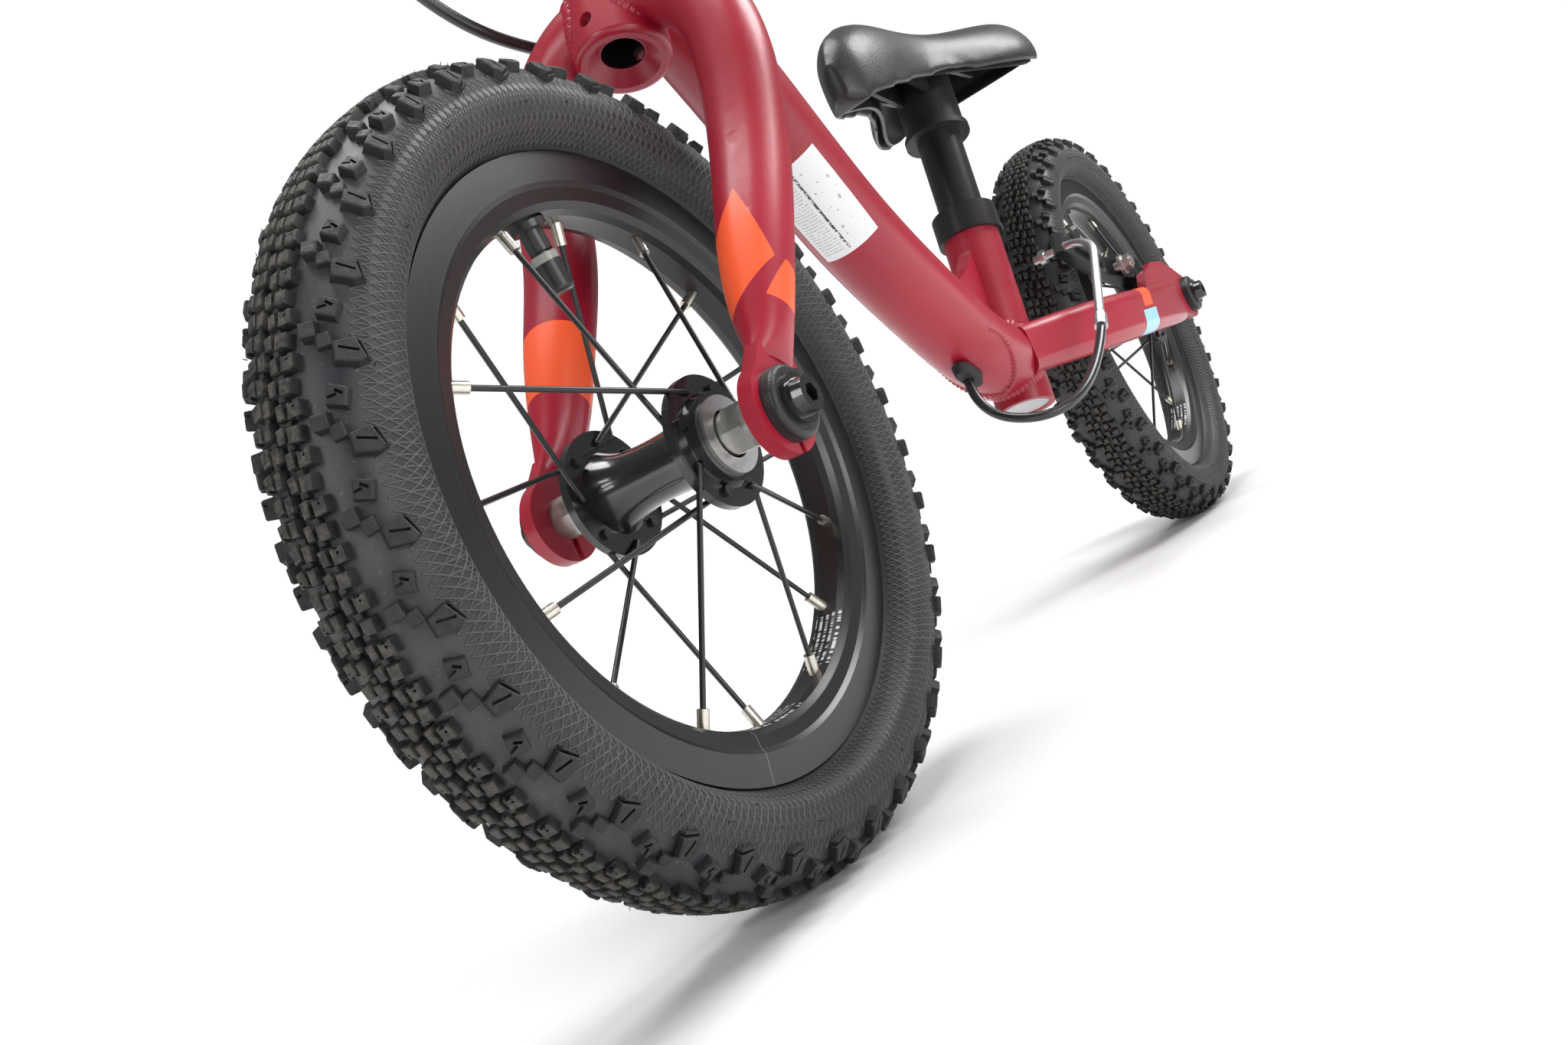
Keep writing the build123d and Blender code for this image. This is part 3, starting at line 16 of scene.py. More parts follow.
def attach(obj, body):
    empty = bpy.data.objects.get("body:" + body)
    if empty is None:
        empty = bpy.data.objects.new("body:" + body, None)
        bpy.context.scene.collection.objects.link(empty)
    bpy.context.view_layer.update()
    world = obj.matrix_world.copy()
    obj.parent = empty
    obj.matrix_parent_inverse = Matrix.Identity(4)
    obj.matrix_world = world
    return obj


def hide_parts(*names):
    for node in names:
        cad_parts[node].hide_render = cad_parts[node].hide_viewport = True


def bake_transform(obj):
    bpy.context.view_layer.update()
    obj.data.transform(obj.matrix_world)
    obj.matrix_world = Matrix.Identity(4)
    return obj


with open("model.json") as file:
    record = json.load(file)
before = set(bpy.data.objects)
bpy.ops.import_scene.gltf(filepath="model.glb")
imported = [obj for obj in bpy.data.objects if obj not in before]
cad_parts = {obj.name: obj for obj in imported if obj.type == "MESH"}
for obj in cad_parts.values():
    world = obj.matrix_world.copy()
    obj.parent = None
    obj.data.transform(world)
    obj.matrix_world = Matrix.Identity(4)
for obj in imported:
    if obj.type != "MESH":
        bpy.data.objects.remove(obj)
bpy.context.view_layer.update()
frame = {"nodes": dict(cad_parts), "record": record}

random.seed(12)
MM = 0.001
AXLE_Z = 140.4 * MM
FRONT_X = 281.7 * MM
REAR_X = -281.7 * MM

# %% [markdown]
# The eye of the picture sits low beside the front wheel and is rolled over, so that
# the near wheel fills the frame and the saddle and rear wheel shrink behind it.
# A camera is placed by a matrix whose columns are its right, its up and its back.

# %% Camera
CAMERA_AT = Vector((0.61866, 0.24448, 0.10535))
YAW = -2.584
PITCH = 0.007
ROLL = -0.421


def aimed(yaw, pitch, roll):
    """The camera's turning matrix: level first, then rolled about its own line of sight."""
    ahead = Vector((math.cos(pitch) * math.cos(yaw), math.cos(pitch) * math.sin(yaw), math.sin(pitch)))
    right = ahead.cross(Vector((0, 0, 1))).normalized()
    up = right.cross(ahead)
    rolled_right = math.cos(roll) * right + math.sin(roll) * up
    rolled_up = math.cos(roll) * up - math.sin(roll) * right
    return Matrix((rolled_right, rolled_up, -ahead)).transposed().to_4x4()


bpy.ops.object.camera_add()
camera = bpy.context.object
camera.name = "low_front_eye"
camera.matrix_world = Matrix.Translation(CAMERA_AT) @ aimed(YAW, PITCH, ROLL)
camera.data.lens = 29.35
camera.data.sensor_width = 36.0
camera.data.clip_start = 0.01
bpy.context.scene.camera = camera
print("camera at", [round(v, 3) for v in CAMERA_AT])

# %% [markdown]
# A studio sweep is a white floor under large soft lamps. A small lamp would throw
# hard black shadows, so each lamp here is an area lamp as wide as the bike is long.
# The backdrop is blown out to white behind the bike, yet gives back only a little
# light, so that black parts stay black.

# %% Floor, sky and lamps


def lamp(name, place, target, size, power, tint=(1, 1, 1)):
    """One square soft lamp that looks at a point."""
    bpy.ops.object.light_add(type="AREA", location=place)
    softbox = bpy.context.object
    softbox.name = name
    softbox.data.shape = "RECTANGLE"
    softbox.data.size, softbox.data.size_y = size
    softbox.data.energy = power
    softbox.data.color = tint
    away = Vector(place) - Vector(target)
    softbox.rotation_euler = away.to_track_quat("Z", "Y").to_euler()
    return softbox


bpy.ops.mesh.primitive_plane_add(size=60, location=(0, 0, 0))
floor = bpy.context.object
floor.name = "studio_floor"

sky = bpy.data.worlds.new("studio_sky")
sky.use_nodes = True
backdrop = sky.node_tree.nodes["Background"]
backdrop.inputs["Color"].default_value = (1.0, 1.0, 1.0, 1)
seen = sky.node_tree.nodes.new("ShaderNodeLightPath")
amount = sky.node_tree.nodes.new("ShaderNodeMapRange")
amount.inputs["To Min"].default_value = 0.20
amount.inputs["To Max"].default_value = 1.05
sky.node_tree.links.new(seen.outputs["Is Camera Ray"], amount.inputs["Value"])
sky.node_tree.links.new(amount.outputs["Result"], backdrop.inputs["Strength"])
bpy.context.scene.world = sky
bpy.context.scene.view_settings.view_transform = "Standard"

lamp("overhead_softbox", (0.1, 0.0, 1.8), (0.05, 0, 0.15), (1.3, 0.9), 30)
lamp("back_softbox", (-0.9, 1.0, 1.3), (0.05, 0, 0.2), (0.9, 0.7), 22)
lamp("left_strip", (0.7, 1.6, 0.6), (0.2, 0, 0.2), (1.0, 0.3), 9)
lamp("front_strip", (1.9, -0.3, 1.0), (0.2, 0, 0.2), (0.4, 1.0), 9)

# %% [markdown]
# A finish is a node tree. Sums on its values read best as sums, so a small class
# wraps one socket and turns +, -, * and / into Math nodes. A second class holds one
# material and adds every other kind of node through a single method.

# %% Shader maths


class Value:
    """One socket of a finish; arithmetic on it adds Math nodes."""

    def __init__(self, finish, socket):
        self.finish = finish
        self.socket = socket

    def math(self, operation, other=None, swapped=False):
        node = self.finish.tree.nodes.new("ShaderNodeMath")
        node.operation = operation
        pair = [other, self] if swapped else [self, other]
        for place, value in zip(node.inputs, pair):
            if isinstance(value, Value):
                self.finish.tree.links.new(value.socket, place)
            elif value is not None:
                place.default_value = value
        return Value(self.finish, node.outputs[0])

    def __add__(self, other):
        return self.math("ADD", other)

    def __radd__(self, other):
        return self.math("ADD", other, True)

    def __sub__(self, other):
        return self.math("SUBTRACT", other)

    def __rsub__(self, other):
        return self.math("SUBTRACT", other, True)

    def __mul__(self, other):
        return self.math("MULTIPLY", other)

    def __rmul__(self, other):
        return self.math("MULTIPLY", other, True)

    def __truediv__(self, other):
        return self.math("DIVIDE", other)

    def __gt__(self, other):
        return self.math("GREATER_THAN", other)

    def __lt__(self, other):
        return self.math("LESS_THAN", other)


class Finish:
    """One material: its surface shader, and a single way to add any node."""

    def __init__(self, name):
        self.material = bpy.data.materials.new(name)
        self.material.use_nodes = True
        self.tree = self.material.node_tree
        self.surface = self.tree.nodes["Principled BSDF"]
        self.place = self.add("TexCoord", {}, {}, "Object")
        split = self.add("SeparateXYZ", {}, {"Vector": self.place}, None)
        self.x, self.y, self.z = (Value(self, out) for out in split.outputs)

    def add(self, kind, settings, inputs, output=0):
        node = self.tree.nodes.new("ShaderNode" + kind)
        for key, value in settings.items():
            if key == "stops":
                ramp = node.color_ramp
                while len(ramp.elements) < len(value):
                    ramp.elements.new(0.5)
                for element, (at, colour) in zip(ramp.elements, value):
                    element.position = at
                    element.color = colour
            else:
                setattr(node, key, value)
        for key, value in inputs.items():
            if isinstance(value, Value):
                self.tree.links.new(value.socket, node.inputs[key])
            else:
                node.inputs[key].default_value = value
        return node if output is None else Value(self, node.outputs[output])

    def grain(self, scale, detail=3.0, rough=0.55, stretch=None):
        """Soft random spots; scale counts spots in a metre."""
        place = self.place
        if stretch is not None:
            place = self.add("Mapping", {}, {"Vector": place, "Scale": stretch}, "Vector")
        inputs = {"Vector": place, "Scale": scale, "Detail": detail, "Roughness": rough}
        return self.add("TexNoise", {}, inputs, 0)

    def cells(self, scale, feature="F1"):
        settings = {"feature": feature}
        return self.add("TexVoronoi", settings, {"Vector": self.place, "Scale": scale}, "Distance")

    def step(self, value, low, high):
        """0 below low, 1 above high, smooth between."""
        inputs = {"Value": value, "From Min": low, "From Max": high}
        return self.add("MapRange", {"interpolation_type": "SMOOTHSTEP"}, inputs, 0)

    def tint(self, amount, first, second):
        """The first colour where amount is 0, the second where it is 1."""
        node = self.add("Mix", {"data_type": "RGBA"}, {}, None)
        for place, value in ((node.inputs[0], amount), (node.inputs[6], first), (node.inputs[7], second)):
            if isinstance(value, Value):
                self.tree.links.new(value.socket, place)
            else:
                place.default_value = value
        return Value(self, node.outputs[2])

    def set(self, **values):
        names = {"colour": "Base Color", "rough": "Roughness", "metal": "Metallic", "coat": "Coat Weight"}
        for key, value in values.items():
            socket = self.surface.inputs[names.get(key, key)]
            if isinstance(value, Value):
                self.tree.links.new(value.socket, socket)
            else:
                socket.default_value = value
        return self

    def relief(self, height, strength, depth):
        """Fine relief too small to model, felt only by the light."""
        inputs = {"Height": height, "Strength": strength, "Distance": depth}
        normal = self.add("Bump", {}, inputs, "Normal")
        self.tree.links.new(normal.socket, self.surface.inputs["Normal"])
        return self

    def coat_of(self, roughness, ior=1.5):
        self.surface.inputs["Coat Roughness"].default_value = roughness
        self.surface.inputs["Coat IOR"].default_value = ior
        return self

    def inside(self, u, v, corners):
        """1 inside a convex outline given by its corners, taken in turn."""
        result = None
        turn = 0.0
        for (u0, v0), (u1, v1) in zip(corners, corners[1:] + corners[:1]):
            turn += u0 * v1 - u1 * v0
        way = 1.0 if turn > 0 else -1.0
        for (u0, v0), (u1, v1) in zip(corners, corners[1:] + corners[:1]):
            edge = ((v - v0) * (u1 - u0) - (u - u0) * (v1 - v0)) * way
            side = edge > 0.0
            result = side if result is None else result * side
        return result

    def dot(self, direction, origin):
        """How far a point lies from origin along a direction."""
        dx, dy, dz = direction
        ox, oy, oz = origin
        return (self.x - ox) * dx + (self.y - oy) * dy + (self.z - oz) * dz


print("shader helpers ready")

# %% [markdown]
# The frame wears a satin crimson powder coat: deep red, slightly mottled, with a
# clear top layer whose skin is faintly uneven, like the peel of an orange. Colour
# patches are laid over it as masks, so their edges stay sharp at any size.

# %% Crimson paint and its colour patches
CRIMSON = (0.352, 0.007, 0.027, 1)
DEEP_CRIMSON = (0.268, 0.004, 0.019, 1)
ORANGE = (0.905, 0.105, 0.028, 1)
SKY_BLUE = (0.33, 0.62, 0.80, 1)


def crimson(name, patches=None):
    paint = Finish(name)
    cloud = paint.grain(9.0, 2.0)
    colour = paint.tint(paint.step(cloud, 0.35, 0.7), CRIMSON, DEEP_CRIMSON)
    rough = paint.grain(60.0, 2.0) * 0.10 + 0.33
    if patches is not None:
        colour, rough = patches(paint, colour, rough)
    peel = paint.grain(520.0, 2.0) * 0.6 + paint.grain(2400.0, 1.0) * 0.25
    paint.set(colour=colour, rough=rough, metal=0.0, coat=0.22)
    paint.coat_of(0.22)
    paint.relief(peel, 0.16, 0.0004)
    return paint.material


def blade_lines(paint, side):
    """Along the fork blade, across it and towards its outer front, in metres."""
    start = (0.219, side * 0.048, 0.240)
    down = paint.dot((0.546, 0, -0.838), start)
    across = paint.dot((0.499, -0.803 * side, 0.325), start)
    facing = paint.dot((0.671, 0.596 * side, 0.438), start)
    return down, across, facing


def left_blade_patches(paint, colour, rough):
    down, across, facing = blade_lines(paint, 1)
    front = facing > 0.0
    kite_corners = [(0.039, 0.0063), (0.067, -0.0053), (0.0865, 0.0115), (0.056, 0.0150)]
    kite = paint.inside(down, across, kite_corners)
    wing_corners = [(0.0665, -0.0088), (0.0815, -0.0015), (0.0845, -0.0125), (0.0700, -0.0150)]
    wing = paint.inside(down, across, wing_corners)
    mask = (kite + wing) * front
    return paint.tint(mask, colour, ORANGE), rough


def right_blade_patches(paint, colour, rough):
    down, across, facing = blade_lines(paint, -1)
    slope = down + across * 0.22
    band = (slope > 0.046) * (slope < 0.0745)
    return paint.tint(band, colour, ORANGE), rough


def stay_patches(paint, colour, rough):
    slope = paint.x + (paint.z - 0.139) * 0.45
    outer = paint.y > 0.046
    upper = (slope > -0.177) * (slope < -0.161) * (paint.z > 0.1405) * outer
    lower = (slope > -0.181) * (slope < -0.157) * (paint.z < 0.1385) * outer
    colour = paint.tint(upper, colour, ORANGE)
    return paint.tint(lower, colour, SKY_BLUE), rough


def label_patch(paint, colour, rough):
    along = paint.dot((0.585, 0, 0.811), (0.069, 0, 0.224))
    front = paint.dot((0.811, 0, -0.585), (0.069, 0, 0.224))
    turn = paint.y.math("ARCTAN2", front)
    label = (along > -0.0035) * (along < 0.0465) * (turn > -0.56) * (turn < 0.98)
    inner = (along > -0.0010) * (along < 0.0440) * (turn > -0.46) * (turn < 0.88)
    rows = (along / 0.0016).math("FRACT") < 0.38
    place = paint.add("CombineXYZ", {}, {"X": turn * 14.0, "Y": (along / 0.0016).math("FLOOR") * 3.7}, 0)
    dashes = paint.add("TexNoise", {}, {"Vector": place, "Scale": 1.6, "Detail": 2.0}, 0) > 0.45
    print_rows = rows * dashes * inner * (turn < 0.10)
    rule = (turn > 0.17) * (turn < 0.225) * inner * (paint.grain(900.0, 2.0) > 0.42)
    signs = (paint.grain(330.0, 2.0) > 0.66) * (turn > 0.34) * inner
    paper = paint.tint(print_rows * 0.45 + signs * 0.6, (0.80, 0.81, 0.82, 1), (0.12, 0.12, 0.13, 1))
    paper = paint.tint(rule, paper, (0.06, 0.06, 0.07, 1))
    return paint.tint(label, colour, paper), rough + label * 0.06


paint_plain = crimson("crimson_paint")
paint_by_node = {
    "fork_blade_left": crimson("crimson_left_blade", left_blade_patches),
    "fork_blade_right": crimson("crimson_right_blade", right_blade_patches),
    "chainstay_left": crimson("crimson_left_stay", stay_patches),
    "main_tube": crimson("crimson_main_tube", label_patch),
}
print("painted nodes with patches:", sorted(paint_by_node))

# %% [markdown]
# The metal parts differ mostly in how tightly they mirror the lamps. Anodised and
# powder-coated black scatters the light, polished black mirrors it, and bare metal
# carries the turned or brushed lines of its making.

# %% Metal finishes


def black_alloy():
    finish = Finish("satin_black_alloy")
    spots = finish.grain(14.0, 3.0)
    colour = finish.tint(spots, (0.007, 0.007, 0.008, 1), (0.013, 0.013, 0.014, 1))
    finish.set(colour=colour, rough=finish.grain(90.0) * 0.12 + 0.24, metal=0.0, coat=0.12)
    finish.coat_of(0.35)
    return finish.relief(finish.grain(2600.0, 2.0), 0.12, 0.0002).material


def gloss_black():
    finish = Finish("gloss_black_lacquer")
    colour = finish.tint(finish.grain(20.0), (0.008, 0.008, 0.009, 1), (0.014, 0.014, 0.016, 1))
    finish.set(colour=colour, rough=finish.grain(70.0) * 0.08 + 0.16, metal=0.0, coat=0.7)
    finish.coat_of(0.06)
    return finish.relief(finish.grain(700.0, 1.0), 0.05, 0.0003).material


def bare_alloy():
    finish = Finish("brushed_bare_alloy")
    lines = finish.grain(1.0, 4.0, 0.7, (900.0, 60.0, 900.0))
    colour = finish.tint(lines, (0.55, 0.55, 0.56, 1), (0.74, 0.74, 0.75, 1))
    finish.set(colour=colour, rough=lines * 0.22 + 0.24, metal=1.0)
    return finish.relief(lines, 0.15, 0.0002).material


def zinc_steel():
    finish = Finish("zinc_plated_steel")
    patch = finish.grain(160.0, 4.0)
    colour = finish.tint(patch, (0.40, 0.39, 0.36, 1), (0.62, 0.61, 0.58, 1))
    finish.set(colour=colour, rough=patch * 0.22 + 0.26, metal=1.0)
    return finish.relief(finish.grain(1500.0), 0.12, 0.0002).material


def nickel():
    finish = Finish("nickel_plated_brass")
    patch = finish.grain(240.0, 3.0)
    colour = finish.tint(patch, (0.58, 0.54, 0.46, 1), (0.78, 0.75, 0.68, 1))
    finish.set(colour=colour, rough=patch * 0.14 + 0.22, metal=1.0)
    return finish.relief(finish.grain(1800.0), 0.1, 0.0002).material


print("metal finishes ready")

# %% [markdown]
# The rims are turned, anodised and stickered. Their paper marks are short rows of
# dashes on two patches of the spoke bed; the joint where the hoop was closed shows
# as a hair line across it.

# %% Rim finish


def rim_black(name, axle_x):
    finish = Finish(name)
    across, up = finish.x - axle_x, finish.z - AXLE_Z
    turn = up.math("ARCTAN2", across)
    radius = (across * across + up * up).math("SQRT")
    rings = finish.add("TexNoise", {}, {
        "Vector": finish.add("CombineXYZ", {}, {"X": radius * 1800.0, "Y": finish.y * 900.0}, 0),
        "Scale": 1.0, "Detail": 3.0}, 0)
    spots = finish.grain(30.0)
    colour = finish.tint(spots, (0.005, 0.005, 0.006, 1), (0.009, 0.009, 0.010, 1))
    colour = finish.tint((radius < 0.0958) * 0.6, colour, (0.018, 0.017, 0.017, 1))
    inner = (radius < 0.0925) * (finish.y > -0.0045)
    first = (turn > -2.26) * (turn < -1.95) * (finish.y < 0.0075) * inner
    second = (turn > -1.68) * (turn < -1.33) * (finish.y < 0.0075) * inner
    rows = (finish.y / 0.0026).math("FRACT") < 0.5
    place = finish.add("CombineXYZ", {}, {"X": turn * 60.0, "Y": (finish.y / 0.0026).math("FLOOR") * 5.1}, 0)
    dashes = finish.add("TexNoise", {}, {"Vector": place, "Scale": 1.4, "Detail": 1.0}, 0) > 0.5
    colour = finish.tint(first + second, colour, (0.006, 0.006, 0.006, 1))
    colour = finish.tint((first + second) * rows * dashes, colour, (0.75, 0.75, 0.75, 1))
    joint = (turn > -1.305) * (turn < -1.300)
    colour = finish.tint(joint, colour, (0.10, 0.10, 0.10, 1))
    finish.set(colour=colour, rough=rings * 0.14 + 0.24, metal=0.0, coat=0.12)
    finish.coat_of(0.30)
    return finish.relief(rings, 0.10, 0.0002).material


print("rim finish ready")

# %% [markdown]
# Rubber is charcoal rather than black, and its dust sits in patches. The tread tops
# are scuffed brown-grey; the smooth casing between the blocks has a bluish cast and
# faint mould lines that run round the wheel.

# %% Rubber finishes


def casing_rubber(name, axle_x):
    rubber = Finish(name)
    across, up = rubber.x - axle_x, rubber.z - AXLE_Z
    radius = (across * across + up * up).math("SQRT")
    dust = rubber.step(rubber.grain(34.0, 4.0, 0.65), 0.38, 0.72)
    colour = rubber.tint(dust, (0.022, 0.023, 0.027, 1), (0.050, 0.049, 0.050, 1))
    side = 1 - rubber.step(radius, 0.1245, 0.1310)
    colour = rubber.tint(side * 0.7, colour, (0.013, 0.013, 0.014, 1))
    specks = rubber.grain(900.0, 2.0) > 0.68
    colour = rubber.tint(specks * 0.45, colour, (0.14, 0.13, 0.11, 1))
    rubber.set(colour=colour, rough=dust * 0.16 + 0.44, metal=0.0)
    lines = rubber.add("TexNoise", {}, {
        "Vector": rubber.add("CombineXYZ", {}, {"X": radius * 700.0, "Y": rubber.y * 700.0}, 0),
        "Scale": 1.0, "Detail": 2.0}, 0)
    skin = lines * 0.5 + rubber.grain(1700.0, 3.0) * 0.5
    return rubber.relief(skin, 0.22, 0.0004).material


def tread_rubber(name, axle_x):
    rubber = Finish(name)
    across, up = rubber.x - axle_x, rubber.z - AXLE_Z
    radius = (across * across + up * up).math("SQRT")
    top = rubber.step(radius, 0.1378, 0.1398)
    scuff = rubber.step(rubber.grain(420.0, 4.0, 0.7), 0.40, 0.66)
    colour = rubber.tint(scuff * top, (0.012, 0.012, 0.013, 1), (0.078, 0.070, 0.056, 1))
    mud = rubber.step(rubber.grain(60.0, 3.0), 0.5, 0.75) * 0.4
    colour = rubber.tint(mud, colour, (0.034, 0.032, 0.029, 1))
    rubber.set(colour=colour, rough=scuff * 0.25 + 0.50, metal=0.0)
    return rubber.relief(rubber.grain(1300.0, 4.0, 0.7), 0.45, 0.0005).material


def net_rubber(name):
    """The raised lines of the sidewall, paler than the skin they stand on."""
    rubber = Finish(name)
    colour = rubber.tint(rubber.grain(120.0), (0.040, 0.040, 0.042, 1), (0.085, 0.083, 0.080, 1))
    rubber.set(colour=colour, rough=rubber.grain(300.0) * 0.12 + 0.42, metal=0.0)
    return rubber.relief(rubber.grain(1500.0), 0.15, 0.0002).material


def soft_rubber():
    rubber = Finish("soft_black_rubber")
    colour = rubber.tint(rubber.grain(50.0), (0.010, 0.010, 0.011, 1), (0.021, 0.021, 0.022, 1))
    rubber.set(colour=colour, rough=rubber.grain(300.0) * 0.15 + 0.52, metal=0.0)
    return rubber.relief(rubber.grain(1500.0, 3.0), 0.3, 0.0003).material


print("rubber finishes ready")

# %% [markdown]
# Moulded plastic keeps the fine spark-eroded texture of its tool. The saddle's skin
# is the same idea at a smaller scale, softer and a little shinier on its worn crown.

# %% Plastic finishes


def black_plastic():
    plastic = Finish("moulded_black_plastic")
    colour = plastic.tint(plastic.grain(40.0), (0.009, 0.009, 0.010, 1), (0.017, 0.017, 0.018, 1))
    plastic.set(colour=colour, rough=plastic.grain(200.0) * 0.14 + 0.36, metal=0.0)
    return plastic.relief(plastic.cells(1500.0), 0.22, 0.0003).material


def saddle_skin():
    skin = Finish("satin_saddle_skin")
    worn = skin.step(skin.z, 0.325, 0.347) * skin.step(skin.grain(22.0), 0.3, 0.7)
    colour = skin.tint(worn, (0.010, 0.011, 0.012, 1), (0.018, 0.019, 0.021, 1))
    skin.set(colour=colour, rough=skin.grain(120.0) * 0.12 + 0.30 - worn * 0.04, metal=0.0)
    skin.surface.inputs["Sheen Weight"].default_value = 0.05
    return skin.relief(skin.cells(1150.0), 0.16, 0.0003).material


def cable_black():
    jacket = Finish("cable_jacket")
    colour = jacket.tint(jacket.grain(80.0), (0.010, 0.010, 0.011, 1), (0.020, 0.020, 0.022, 1))
    jacket.set(colour=colour, rough=jacket.grain(300.0) * 0.1 + 0.24, metal=0.0, coat=0.3)
    jacket.coat_of(0.12)
    return jacket.relief(jacket.grain(900.0), 0.08, 0.0002).material


def valve_rubber(name, axle_x):
    """Black rubber stem with a pale see-through collar under the black cap."""
    valve = Finish(name)
    across, up = valve.x - axle_x, valve.z - AXLE_Z
    radius = (across * across + up * up).math("SQRT")
    collar = (radius > 0.0748) * (radius < 0.0778)
    seam = (radius > 0.0778) * (radius < 0.0787)
    colour = valve.tint(valve.grain(90.0), (0.012, 0.012, 0.013, 1), (0.024, 0.025, 0.026, 1))
    colour = valve.tint(collar, colour, (0.30, 0.32, 0.28, 1))
    colour = valve.tint(seam, colour, (0.006, 0.006, 0.006, 1))
    valve.set(colour=colour, rough=0.34 - collar * 0.14, metal=0.0, coat=0.2)
    valve.coat_of(0.2)
    return valve.relief(valve.grain(1100.0), 0.15, 0.0003).material


FINISH_BY_SLOT = {
    "frame_paint": paint_plain,
    "black_alloy": black_alloy(),
    "gloss_black": gloss_black(),
    "bare_alloy": bare_alloy(),
    "zinc_steel": zinc_steel(),
    "nickel_brass": nickel(),
    "soft_rubber": soft_rubber(),
    "black_plastic": black_plastic(),
    "saddle_skin": saddle_skin(),
    "cable_black": cable_black(),
}
print("finishes:", len(bpy.data.materials))

# %% [markdown]
# Every measured part takes the finish of its own slot. The floor gets a matt white
# of its own, barely mottled, so that near the bike it reads as paper. Further out
# it has a painted glow that whitens the far floor to meet the backdrop.

# %% Dress the measured parts


def wear(piece, material):
    piece.data.materials.clear()
    piece.data.materials.append(material)


for part in frame["record"]["subparts"]:
    node = part["node"]
    piece = frame["nodes"][node]
    if part["material_slot"] in FINISH_BY_SLOT:
        wear(piece, paint_by_node.get(node, FINISH_BY_SLOT[part["material_slot"]]))

for wheel, axle_x in (("front", FRONT_X), ("rear", REAR_X)):
    wear(frame["nodes"][wheel + "_rim"], rim_black(wheel + "_rim_black", axle_x))
    wear(frame["nodes"][wheel + "_valve"], valve_rubber(wheel + "_valve_rubber", axle_x))

paper = Finish("floor_paper")
shade = paper.tint(paper.grain(0.8), (0.90, 0.90, 0.90, 1), (0.93, 0.93, 0.93, 1))
paper.set(colour=shade, rough=0.8)
paper.surface.inputs["Specular IOR Level"].default_value = 0.15
# Painted glow: the floor's emission rises from almost none within half a metre of the bike to full white
# beyond one and a half metres.
away = (paper.x * paper.x + paper.y * paper.y).math("SQRT")
glow = paper.tint(paper.step(away, 0.5, 1.5), (0.02, 0.02, 0.02, 1), (1.0, 1.0, 1.0, 1))
paper.tree.links.new(glow.socket, paper.surface.inputs["Emission Color"])
paper.surface.inputs["Emission Strength"].default_value = 0.9
wear(floor, paper.material)

# %% [markdown]
# A handful of habits serve every piece. Operators act on whatever is selected, so
# each step starts by selecting one thing only. A finished piece has its place in its
# mesh and its object at the origin.

# %% Workshop habits


def only(*pieces):
    if bpy.context.object is not None and bpy.context.object.mode != "OBJECT":
        bpy.ops.object.mode_set(mode="OBJECT")
    bpy.ops.object.select_all(action="DESELECT")
    for piece in pieces:
        piece.select_set(True)
    bpy.context.view_layer.objects.active = pieces[0]


def editing(action):
    """Runs one action with the whole of the active piece selected in edit mode."""
    bpy.ops.object.mode_set(mode="EDIT")
    bpy.ops.mesh.select_mode(type="VERT")
    bpy.ops.mesh.select_all(action="SELECT")
    action()
    bpy.ops.object.mode_set(mode="OBJECT")


def settle(piece):
    only(piece)
    bpy.ops.object.transform_apply(location=True, rotation=True, scale=True)
    return piece


def joined(name, pieces):
    only(*pieces)
    if len(pieces) > 1:
        bpy.ops.object.join()
    whole = bpy.context.object
    whole.name = name
    whole.data.name = name
    return settle(whole)


def copied(piece, move):
    """A copy with its own mesh, moved by a matrix that goes into the mesh."""
    copy = piece.copy()
    copy.data = piece.data.copy()
    copy.data.transform(move)
    bpy.context.scene.collection.objects.link(copy)
    return copy


def thrown_away(piece):
    mesh = piece.data
    bpy.data.objects.remove(piece)
    bpy.data.meshes.remove(mesh)


def smoothed(piece, degrees=40):
    only(piece)
    bpy.ops.object.shade_smooth_by_angle(angle=math.radians(degrees))
    return piece


def placed(piece, body, nodes=()):
    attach(piece, body)
    if nodes:
        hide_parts(*nodes)
    print(piece.name, "faces", len(piece.data.polygons))
    return piece


def traced(name, points, closed=True):
    """An outline drawn by extruding one corner from point to point."""
    only(floor)
    bpy.ops.object.select_all(action="DESELECT")
    bpy.ops.mesh.primitive_plane_add(size=MM, location=points[0])
    bpy.ops.object.mode_set(mode="EDIT")
    bpy.ops.mesh.select_mode(type="VERT")
    bpy.ops.mesh.merge(type="CENTER")
    for here, there in zip(points, points[1:]):
        step = Vector(there) - Vector(here)
        bpy.ops.mesh.extrude_vertices_move(TRANSFORM_OT_translate={"value": step})
    if closed:
        bpy.ops.mesh.select_all(action="SELECT")
        bpy.ops.mesh.edge_face_add()
        bpy.ops.mesh.delete(type="ONLY_FACE")
    bpy.ops.object.mode_set(mode="OBJECT")
    outline = bpy.context.object
    outline.name = name
    return settle(outline)


def turned(name, outline_points, centre, steps):
    """A closed outline spun once round the wheel's axle."""
    piece = traced(name, outline_points)

    def spin():
        bpy.ops.mesh.spin(steps=steps, angle=2 * math.pi, center=centre, axis=(0, 1, 0))
        bpy.ops.mesh.select_all(action="SELECT")
        bpy.ops.mesh.remove_doubles(threshold=0.00002)
        bpy.ops.mesh.normals_make_consistent(inside=False)

    editing(spin)
    return piece


print("helpers ready")

# %% [markdown]
# The casing of the tyre is one smooth bag of rubber. Its section is a rounded arch
# standing on two beads. A short curve through a few measured points gives the arch,
# and one helper tells where on that arch a block of tread stands and how it leans.

# %% The section of the casing
ARCH = [(10.3, 107.9), (18.6, 113.0), (21.4, 121.5), (17.8, 131.0), (9.8, 136.0), (0.0, 137.3)]
ARCH = ARCH + [(-y, r) for y, r in reversed(ARCH[:-1])]


